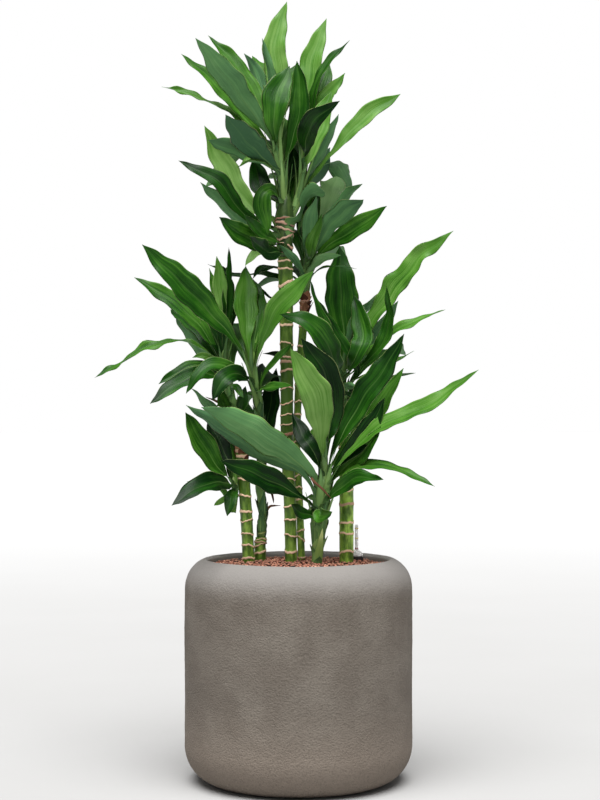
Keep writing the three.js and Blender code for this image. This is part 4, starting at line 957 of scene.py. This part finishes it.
def blade(axis, path, width, growth, lean=None, wave=1, roll=0.0, petiole=PETIOLE):
    """The spine of one leaf with what its section needs at each point."""
    spine, share, past, off_axis, heading, whole = clasping_spine(axis, path, growth["clasp"])
    off_axis = np.minimum(off_axis, np.interp(0, past, off_axis))
    phase, run = growth["phase"], 2 * math.pi * share * whole
    sides, ups = facing(spine, share, past, heading, lean, roll)
    clasp = 1 - smooth(-2, CLASP_FADE, past)
    turn = min(CLASP_TURN, 0.5 + width / 16)
    held = off_axis * turn * clasp ** 1.6 * (
        1 - CLASP_NARROWING * smooth(-growth["clasp"], 0, past))
    half = np.maximum(width / 2 * width_share(np.clip(share, 0, 1), petiole), held)
    basal = 1 - smooth(0, FOLD_END, share)
    waving = smooth(0.1, 0.4, share) * (1 - smooth(0.9, 1, share))
    half = half * (1 + UNEVEN_WIDTH * waving * np.sin(run / UNEVEN_LENGTH + 2 * phase))
    sway = SWAY * wave * waving * np.sin(run / SWAY_LENGTH + 5 * phase) * min(1, width / 30)
    spine = spine + sides * sway[:, None]
    cycle = run / WAVE_LENGTH + phase
    ripple = run / RIPPLE_LENGTH + 3 * phase
    swing, small = MARGIN_WAVE * wave * waving, RIPPLE * wave * waving
    return {
        "centre": spine, "side": sides, "up": ups, "half": half,
        "wrap": np.maximum((BLADE_CURL + BASE_CURL * basal) * (1 - clasp)
                           + clasp * half / np.maximum(off_axis, 2), 0.05),
        "crease": np.radians(BLADE_FOLD + BASE_FOLD * basal) * (1 - clasp),
        "lift_left": swing * np.sin(cycle) + small * np.sin(ripple),
        "lift_right": swing * np.sin(cycle + 2) + small * np.sin(ripple + 1.3),
        "thick": BLADE_HALF_THICKNESS * (0.3 + 0.7 * smooth(-growth["clasp"], 0, past))
        * (1 - 0.5 * smooth(0.8, 1, share)),
        "rib": MIDRIB_RISE * (1 - np.clip(share, 0, 1)) * (1 - clasp) * min(1, width / 30),
        "along": np.clip(share, -0.2, 1), "tone": np.full(len(spine), growth["tone"]),
        "grain": np.full(len(spine), growth["grain"]),
        "ribs": np.full(len(spine), max(width, 8) / 5.5),
        "clasp": clasp, "spread": np.minimum(half / (width / 2), 1),
    }


def scale_leaf(axis, z, heading, length, tone, grain, gap=1.1, hug=2.4):
    """The clasping base of an old leaf, pointed; it hugs its stem below and stands off above."""
    k = np.arange(9) / 8
    aim = np.array([math.cos(heading), math.sin(heading)])
    spine = np.array([beside_axis(axis, z + length * s, aim, 0.1 + gap * s ** 1.5) for s in k])
    radius = float(np.interp(z, axis[:, 2], axis[:, 3]))
    ups = np.tile([-aim[0], -aim[1], 0.0], (9, 1))
    tangents = unit(np.gradient(spine, axis=0))
    ups = unit(ups - tangents * np.sum(ups * tangents, 1, keepdims=True))
    half = (radius + 0.5) * hug * np.maximum((1 - k ** (1.4 if hug > 2 else 2.2)), 0.03)
    return {
        "centre": spine, "side": np.cross(tangents, ups), "up": ups, "half": half,
        "wrap": np.maximum(half / (radius + 0.5 + gap * k), 0.05), "crease": 0 * k,
        "lift_left": 0 * k, "lift_right": 0 * k, "thick": 0.2 + 0.3 * k, "rib": 0 * k,
        "along": -0.2 + 0.4 * k, "tone": np.full(9, tone), "grain": np.full(9, grain),
        "ribs": np.full(9, 8.0), "clasp": 1 - 0.3 * k, "spread": half / half[0],
    }


def table_leaf(points, order, grain, clasp, start, width, lean, tone, marks, petiole=PETIOLE,
               wave=1):
    """A leaf of the table. One that looks short for its width runs towards or away from the
    standing point, so its depths are stretched until it is as long as such a blade grows."""
    growth = {"phase": math.radians(order * GOLDEN_ANGLE), "tone": tone, "grain": grain,
              "clasp": clasp}
    x, depth, _ = axis_at(points, start)
    tip_x, tip_z, tip_behind = marks[-1]
    missing = ((LENGTH_PER_WIDTH * width + SHORTEST) ** 2
               - (tip_x - x) ** 2 - (tip_z - start) ** 2)
    stretch = 1.0
    if missing > tip_behind ** 2:
        stretch = min(math.sqrt(missing) / max(abs(tip_behind), 1), MOST_STRETCH)
    path = [place(x, start, depth)]
    path += [place(px, pz, depth + behind * stretch) for px, pz, behind in marks]
    return blade(real_axis(points), path, width, growth, lean, wave, petiole=petiole)


def reach_out(distance, heading, rise):
    """The step over a distance in a compass heading at an angle of rise."""
    level = distance * math.cos(math.radians(rise))
    return np.array([level * math.cos(math.radians(heading)),
                     level * math.sin(math.radians(heading)),
                     distance * math.sin(math.radians(rise))])


def back_leaves(points, rule, tones, clasp):
    """Leaves on the rear of a stem, one every golden angle within the spread."""
    count, toward, spread, length, width, fall, state = rule

    def within(low, high):
        nonlocal state
        state = (state * 1664525 + 1013904223) % 2 ** 32
        return low + (high - low) * state / 2 ** 32

    made = []
    for k in range(count):
        share = k / (count - 1)
        heading = toward + spread * (((k * GOLDEN_ANGLE) % 360) / 180 - 1)
        rise = STEEPEST - fall * share + within(-9, 9)
        droop = within(14, 30) + LOWEST_DROOP * share * fall / 62
        aside = within(-30, 30)
        long = length * (0.82 + 0.18 * share) * within(0.86, 1.14)
        start = points[-1][1] - 6 - REAR_SPAN * share
        x, depth, _ = axis_at(points, start)
        root = place(x, start, depth)
        middle = root + reach_out(long / 2, heading, rise)
        tip = middle + reach_out(long / 2, heading + aside, rise - droop)
        wide, roll = width * within(0.8, 1.05), within(-40, 40)
        growth = {"phase": math.radians(k * GOLDEN_ANGLE), "tone": tones.uniform(0.1, 0.65),
                  "grain": tones.uniform(0, 90), "clasp": clasp}
        made.append(blade(real_axis(points), [root, middle, tip], wide, growth, roll=roll))
    return made


def blade_tree():
    """Carries a leaf's section along each spine and shapes it with what the spine holds."""
    tree, given = new_group(
        "Geometry", "leaf_blades", {"Spines": "Geometry", "Sides": "Int", "Leaf": "Material"},
        {"Blades": "Geometry"})

    def kept(label, kind="FLOAT"):
        return add(tree, "GeometryNodeInputNamedAttribute", {"Name": label}, data_type=kind)

    def held(value):
        return sums("MAXIMUM", sums("MINIMUM", value, 1.0), -1.0)

    ring = add(tree, "GeometryNodeCurvePrimitiveCircle", {
        "Resolution": given["Sides"], "Radius": 1.0}, mode="RADIUS")
    spot = add(tree, "ShaderNodeSeparateXYZ", {0: add(tree, "GeometryNodeInputPosition")})
    across = sums("ARCSINE", held(spot["X"])) * (2 / math.pi)
    profile = stored(stored(ring, "across", across), "face", held(spot["Y"] * 1.6))
    lines = add(tree, "GeometryNodeMeshToCurve", {"Mesh": given["Spines"]})
    swept = add(tree, "GeometryNodeCurveToMesh", {
        "Curve": lines, "Profile Curve": profile, "Fill Caps": True})
    across, face, half, wrap = kept("across"), kept("face"), kept("half"), kept("wrap")
    crease, thick, rib = kept("crease"), kept("thick"), kept("rib")
    angle, curl = across * wrap, half / wrap
    slope = angle + crease * held(across * 7.0)
    skin = thick * face
    sideways = curl * sums("SINE", angle) * sums("COSINE", crease) - sums("SINE", slope) * skin
    beside = sums("ABSOLUTE", across)
    bowl = curl * (1.0 - sums("COSINE", angle))
    fold = half * beside * sums("SINE", crease)
    on_right = sums("GREATER_THAN", across, 0.0)
    waved = on_right * kept("lift_right") + (1.0 - on_right) * kept("lift_left")
    waved = waved * sums("POWER", beside, 2.0)
    midrib = rib * sums("SUBTRACT", 1.0, beside * 7.0, clamp=True) * (face * 0.6 - 0.4)
    upward = (bowl + fold) + ((waved + midrib) + sums("COSINE", slope) * skin)
    moved = vectors("ADD", *(vectors("SCALE", kept(way, "FLOAT_VECTOR"), distance)
                             for way, distance in (("side", sideways), ("up", upward))))
    placed = vectors("ADD", kept("centre", "FLOAT_VECTOR"), moved)
    shaped = add(tree, "GeometryNodeSetPosition", {"Geometry": swept, "Position": placed})
    whole = add(tree, "GeometryNodeRealizeInstances", {0: shaped})
    return end_tree(whole, given["Leaf"])


def colour_steps(value, stops):
    """A colour that runs through the stops, each [value, colour]."""
    made = add(value.tree, "ShaderNodeValToRGB", {0: value})
    scale = made.socket.node.color_ramp.elements
    for element, (position, colour) in zip(scale, (stops[0], stops[-1])):
        element.position, element.color = position, (*colour, 1)
    for position, colour in stops[1:-1]:
        scale.new(position).color = (*colour, 1)
    return made


def leaf_finish():
    """Dark glossy green with fine ribs, a pale midrib and base, a thin cream edge and a duller
    grey-green underside, with painted shade along the sides of the clasping bases; a dry leaf is
    brown."""
    material, shader, spot = finish("leathery_green_leaf", 0.4, 0.15)
    across, along, face, tone, grain, clasp, spread, rib_count = read_marks(
        spot.tree, "across", "along", "face", "tone", "grain", "clasp", "spread", "ribs")
    lines = add(spot.tree, "ShaderNodeCombineXYZ", {
        "X": sums("MULTIPLY_ADD", across, rib_count, grain * 7.0), "Y": along * 2.5, "Z": grain})
    ribs, bands = cloudy(lines, 1.6, 2.0, 0.6), cloudy(lines, 0.35)
    cloud = cloudy(spot, 17.0, 3.0)

    def about(value, size):
        return (value - 0.5) * size

    level = (tone + about(ribs, 0.62) * (spread * spread)) + (about(bands, 0.6) + about(cloud, 0.6))
    tipward = ramp(along, 0.78, 1.0)
    level = sums("SUBTRACT", level, tipward * 0.12, clamp=True)
    underside = ramp(face * -1.0, -0.1, 0.4)
    green = blend(underside, colour_steps(level, UPPER_GREENS), colour_steps(level, UNDER_GREENS))
    beside = sums("ABSOLUTE", across)
    near_root = 1.0 - ramp(along, 0.0, 0.6)
    midrib = (1.0 - ramp(beside, 0.02, 0.08)) * sums("MULTIPLY_ADD", near_root, 0.6, 0.08)
    # Painted shade: the sides of the clasping bases are darkened, as between overlapping parts.
    clasp_shade = ramp(beside, 0.35, 0.95) * (clasp * 0.75)
    blanched = ramp(tone, 1.1, 1.5) * ramp(cloud, 0.3, 0.6)
    edge = ramp(beside, 0.955, 1.0) * (0.7 - clasp * 0.3)
    base = (1.0 - ramp(along, -0.02, 0.24)) * sums(
        "MULTIPLY_ADD", about(ribs, 1.4) + tone, 0.6, 0.12, clamp=True)
    for share, colour in ((midrib, MIDRIB_GREEN), (clasp_shade, CLASP_SHADE_GREEN),
                          (blanched, BLANCHED_GREEN), (edge, EDGE_CREAM), (base, BASE_GREEN)):
        green = blend(share, green, colour)
    dryness = sums("MULTIPLY_ADD", tone + 0.8, 2.0, ribs)
    dry = blend(sums("ADD", dryness, about(cloud, 1.4), clamp=True), DRY_DARK, DRY_LIGHT)
    is_dry = sums("LESS_THAN", tone, -0.5)
    ridges = sums("MULTIPLY_ADD", bands, 1.4, ribs) * (
        sums("POWER", spread, 4.0) * (1.0 - tipward))
    feed(shader, {
        "Base Color": blend(is_dry, green, dry),
        "Roughness": (0.38 + underside * 0.22) + (about(cloud, 0.12) + is_dry * 0.4),
        "Normal": relief(ridges, 0.0010, 0.8)})
    return material


LEAF_GREEN = leaf_finish()
BLADE_TREE = blade_tree()


def leaf_piece(name, blades):
    """One piece from the spines of its leaves."""
    mesh = bpy.data.meshes.new(name)
    places = np.concatenate([leaf["centre"] for leaf in blades]) * MM
    starts = np.cumsum([0] + [len(leaf["centre"]) for leaf in blades])
    edges = [(k, k + 1) for start, end in zip(starts, starts[1:]) for k in range(start, end - 1)]
    mesh.from_pydata(places.tolist(), edges, [])
    for label in blades[0]:
        values = np.concatenate([leaf[label] for leaf in blades]).astype(np.float32)
        if label in LENGTHS:
            values = values * np.float32(MM)
        kind, field = ("FLOAT_VECTOR", "vector") if values.ndim == 2 else ("FLOAT", "value")
        mesh.attributes.new(label, kind, "POINT").data.foreach_set(field, values.ravel())
    piece = grow(name, mesh, BLADE_TREE, {"Sides": BLADE_SIDES, "Leaf": LEAF_GREEN})
    for label in (*LENGTHS, *DIRECTIONS):
        if label in piece.data.attributes:
            piece.data.attributes.remove(piece.data.attributes[label])
    face_outward(piece.data)
    return piece


CROWN_SCARS = [[995, 1, 0.7, 0.3], [1010, -1, 1.1, 0.1], [1025, 2, 1.3, 0.1],
               [1040, -1, 1.1, 0.1], [1051, 1, 1.7, 0.4], [1059, 2, 1.0, 0.8]]
CROWN_BARK = cane_finish("scarred_crown_bark", (0.035, 0.085, 0.015), (0.12, 0.21, 0.045),
                         (0.72, 0.46, 0.33))
STEM_GREEN = cane_finish("soft_green_stem", (0.13, 0.25, 0.05), (0.32, 0.47, 0.14),
                         (0.30, 0.36, 0.12))
for head, (name, plant) in enumerate(LEAFY_STEMS.items()):
    draw, cores, clasp = random.Random(100 + head), plant["cores"], plant["clasp"]
    blades = [table_leaf(points, order, draw.uniform(0, 90), clasp, *leaf)
              for points, leaves in zip(cores, plant["leaves"]) for order, leaf in enumerate(leaves)]
    for core, *rule in plant["back"]:
        blades += back_leaves(cores[core], rule, draw, clasp)
    for core, low, high, step, length, gap, hug, dark, pale in plant["sheaths"]:
        axis = real_axis(cores[core])
        axis[:, 3] *= CORE_SHARE
        for k, z in enumerate(np.arange(low, high, step)):
            height = place(0, z, cores[core][0][2])[2]
            blades.append(scale_leaf(axis, height, math.radians(k * GOLDEN_ANGLE) + head,
                                     length * draw.uniform(0.8, 1.2), draw.uniform(dark, pale),
                                     draw.uniform(0, 90), gap * draw.uniform(0.6, 1.2)
                                     + axis[0, 3] * (1 - CORE_SHARE), hug))
    put_on(leaf_piece(name + "_leaves", blades), "leaf", name)
    for core, points in enumerate(cores):
        x, z, depth, radius = points[-1]
        points = [*points, [x, z + 5, depth, radius * 0.5], [x, z + 7, depth, 0.4]]
        crown = name == "crown_main" and core == 0
        if not crown:
            points = [[*point[:3], point[3] * CORE_SHARE] for point in points]
        rings = CROWN_SCARS if crown else [[height, 1, 1, 0] for height in np.arange(
            points[0][1] + 8, z - 6, 13)]
        places, faces, marks = ringed_stem(points, rings, 20 + 3 * head + core, 48,
                                           *((1.8, 2.4) if crown else (0.4, 0.3)))
        # Painted shade: every stem but the front one is darkened, as under the foliage.
        marks["canopy_shade"] = np.full(len(places), 0.0 if name == "leafy_stem_front" else 0.5)
        put_on(make_piece(f"{name}_stem_{core + 1}", places, faces,
                          CROWN_BARK if crown else STEM_GREEN, marks), "leaf", name)

# ------------------------------------------------------------------------ dried remains
# Papery brown husks of dead leaf bases still cling to the tops of two canes. They hug the bark
# at the foot and stand off at the tip, each turned a golden angle from the last.
# A row is lowest root, highest root, step between roots and length.
HUSKS = {"cane_thin": (882, 914, 3, 26), "cane_front_left": (606, 636, 4, 26)}
for order, (name, (low, high, step, length)) in enumerate(HUSKS.items()):
    draw = random.Random(40 + order)
    x, top, depth, radius = CANES[name]["points"][-1]
    axis = real_axis([*CANES[name]["points"], [x, top + 60, depth, radius]])
    husks = [scale_leaf(axis, z + draw.uniform(-2, 2), math.radians(k * GOLDEN_ANGLE),
                        length * draw.uniform(0.4, 1.0), draw.uniform(-1.1, -0.55),
                        draw.uniform(0, 90), draw.uniform(1.5, 7.0), draw.uniform(0.6, 1.6))
             for k, z in enumerate(np.arange(low, high, step))]
    put_on(leaf_piece("dry_husk_" + name, husks), "leaf")

# -------------------------------------------------------------------- water-level gauge
# A moulded gauge stands in the granules behind the right-hand cane: a dark shaft and collar, a
# clear dome that narrows into a sight tube, and a float whose red tip shows the water level.
GAUGE_X, GAUGE_DEPTH, GAUGE_LOW = 112.0, 60.0, 62.0
FOOT_TOP, TUBE_TOP, TUBE_RADIUS, TUBE_BORE = 417.5, 478.0, 3.3, 2.2


def plastic_finish(name, colour, roughness, scale):
    material, shader, spot = finish(name, roughness)
    tone = uneven_tone(spot, scale, scale * 9, shaded(colour, 0.85), shaded(colour, 1.1))
    feed(shader, {"Base Color": tone["Colour"], "Normal": relief(tone["Speckle"], 0.0001, 0.4)})
    return material


def clear_finish():
    """A slightly milky clear plastic."""
    material, shader, spot = finish("clear_plastic", 0.06)
    haze = sums("MULTIPLY_ADD", cloudy(spot, 300.0), 0.2, 0.05)
    feed(shader, {"Base Color": (0.99, 0.98, 0.97), "Transmission Weight": 0.55, "IOR": 1.12,
                  "Roughness": haze})
    return material


def gauge_piece(name, profile, material, slot, node=None, around=40, closed=False):
    """A turned piece on the gauge's own axis."""
    places, faces = lathe(profile, around, closed)
    places = places + np.array([GAUGE_X, GAUGE_DEPTH, 0])
    put_on(make_piece(name, places, faces, material), slot, *([node] if node else []))


DARK_PLASTIC = plastic_finish("dark_brown_plastic", (0.030, 0.020, 0.022), 0.45, 90.0)
RED_PLASTIC = plastic_finish("red_plastic", (0.42, 0.045, 0.03), 0.35, 120.0)
YELLOW_PLASTIC = plastic_finish("yellow_plastic", (0.85, 0.58, 0.03), 0.4, 120.0)
CLEAR_PLASTIC = clear_finish()
gauge_piece("gauge_shaft", [
    [0, GAUGE_LOW], [7.2, GAUGE_LOW], [7.5, GAUGE_LOW + 0.4], [7.5, 397.6], [7.8, 398.2],
    [12.8, 398.9], [13.2, 399.4], [13.0, FOOT_TOP - 1.6], [12.7, FOOT_TOP - 0.5], [12, FOOT_TOP],
    [2.5, FOOT_TOP], [2.4, FOOT_TOP - 0.2], [2.4, 396], [5.5, 392], [5.5, GAUGE_LOW + 4.2],
    [5.2, GAUGE_LOW + 4], [0, GAUGE_LOW + 4]], DARK_PLASTIC, "gauge_body", "gauge_body")
DOME_LOW = FOOT_TOP + 0.3
gauge_piece("gauge_sight_tube", [
    [12.2, DOME_LOW], [12.4, DOME_LOW + 0.3], [12.1, DOME_LOW + 2.6], [11.0, DOME_LOW + 5.4],
    [8.6, DOME_LOW + 8.2], [5.6, DOME_LOW + 10.2], [3.9, DOME_LOW + 11.6], [TUBE_RADIUS,
    DOME_LOW + 13], [TUBE_RADIUS, TUBE_TOP - 1], [3.0, TUBE_TOP - 0.4], [2.3, TUBE_TOP],
    [0, TUBE_TOP], [0, TUBE_TOP - 1.4], [1.6, TUBE_TOP - 1.5], [TUBE_BORE, TUBE_TOP - 2],
    [TUBE_BORE, DOME_LOW + 12], [4.6, DOME_LOW + 9.2], [7.8, DOME_LOW + 7.1],
    [10.0, DOME_LOW + 4.6], [11.1, DOME_LOW + 2.2], [11.3, DOME_LOW]],
    CLEAR_PLASTIC, "gauge_tube", "gauge_tube", closed=True)
FLOAT_LOW = GAUGE_LOW + 4.4
gauge_piece("gauge_float_rod", [
    [0, FLOAT_LOW], [4.4, FLOAT_LOW + 0.2], [4.8, FLOAT_LOW + 0.7], [4.8, 109.4], [4.3, 110.4],
    [1.2, 113.6], [1, 114.4], [1, 419.6], [1.6, 420.4], [1.9, 421], [1.9, 427], [1.5, 427.9],
    [0, 428.5]], RED_PLASTIC, "gauge_float", "gauge_float", around=28)
for order, (height, ink) in enumerate((
        (451.0, YELLOW_PLASTIC), (470.0, YELLOW_PLASTIC), (431.4, RED_PLASTIC))):
    gauge_piece(f"gauge_mark_{order + 1}", [
        [TUBE_RADIUS - 0.3, height], [TUBE_RADIUS + 0.25, height + 0.1],
        [TUBE_RADIUS + 0.35, height + 0.8], [TUBE_RADIUS + 0.25, height + 1.5],
        [TUBE_RADIUS - 0.3, height + 1.6]], ink, "gauge_float", closed=True)

# ----------------------------------------------------------------- floor, light and camera
# A wide pale floor and white surroundings, with one broad soft light overhead and a little to
# the front. The camera stands where the photo was taken from.
scene = bpy.context.scene
scene.view_settings.view_transform = "Standard"
FLOOR_DARK, FLOOR_LIGHT, FLOOR_FAR = (0.395, 0.392, 0.387), (0.405, 0.402, 0.398), (0.5, 0.5, 0.5)
FLOOR_RADIUS, FLOOR_LEVEL, FLOOR_SIDES = 60000, -0.2, 96
BACKDROP_LIGHT, ROOM_LIGHT, GLOSS_DIMMING = 0.68, 0.32, -0.2
LAMP_STRENGTH, LAMP_SPREAD, LAMP_FROM = 6.2, math.radians(50), (-0.02, -0.36, 1.0)
PHOTO_HEIGHT, PIXELS_PER_MM, SENSOR = 800, 0.528, 36.0
PICTURE_SHIFT = (1.5, 14.7)


def pale_floor():
    """The floor grows paler away from the planter, up to the white of the surroundings."""
    material, shader, spot = finish("pale_floor", 0.8, 0.2)
    tone = uneven_tone(spot, 1.5, 60.0, FLOOR_DARK, FLOOR_LIGHT)
    away = vectors("LENGTH", spot)["Value"]
    feed(shader, {"Base Color": blend(ramp(away, 0.5, 8.0), tone["Colour"], FLOOR_FAR)})
    rim = [[FLOOR_RADIUS * math.cos(turn), FLOOR_RADIUS * math.sin(turn), FLOOR_LEVEL]
           for turn in all_round(FLOOR_SIDES)]
    return make_piece("floor", rim, [range(FLOOR_SIDES)], material, outward=False)


pale_floor()
world = bpy.data.worlds.new("white_surroundings")
world.use_nodes = True
rays = add(world.node_tree, "ShaderNodeLightPath")
seen = sums("MAXIMUM", rays["Is Camera Ray"], rays["Is Transmission Ray"])
dimmed = sums("MULTIPLY_ADD", rays["Is Glossy Ray"], GLOSS_DIMMING, ROOM_LIGHT)
feed(world.node_tree.nodes["Background"], {
    "Strength": sums("MULTIPLY_ADD", seen, BACKDROP_LIGHT, dimmed), "Color": (1, 1, 1)})
scene.world = world
lamp = bpy.data.lights.new("soft_overhead", "SUN")
lamp.energy, lamp.angle = LAMP_STRENGTH, LAMP_SPREAD
overhead = bpy.data.objects.new("soft_overhead", lamp)
overhead.rotation_euler = Vector(LAMP_FROM).to_track_quat("Z", "Y").to_euler()
scene.collection.objects.link(overhead)
lens = bpy.data.cameras.new("camera")
lens.sensor_fit, lens.sensor_width, lens.sensor_height = "AUTO", SENSOR, SENSOR
lens.lens = SENSOR * -STANDING_POINT[1] * PIXELS_PER_MM / PHOTO_HEIGHT
lens.shift_x, lens.shift_y = (pixels / PHOTO_HEIGHT for pixels in PICTURE_SHIFT)
lens.clip_end = 200.0
camera = bpy.data.objects.new("camera", lens)
camera.location = STANDING_POINT * MM
camera.rotation_euler = (math.pi / 2, 0, 0)
scene.collection.objects.link(camera)
scene.camera = camera
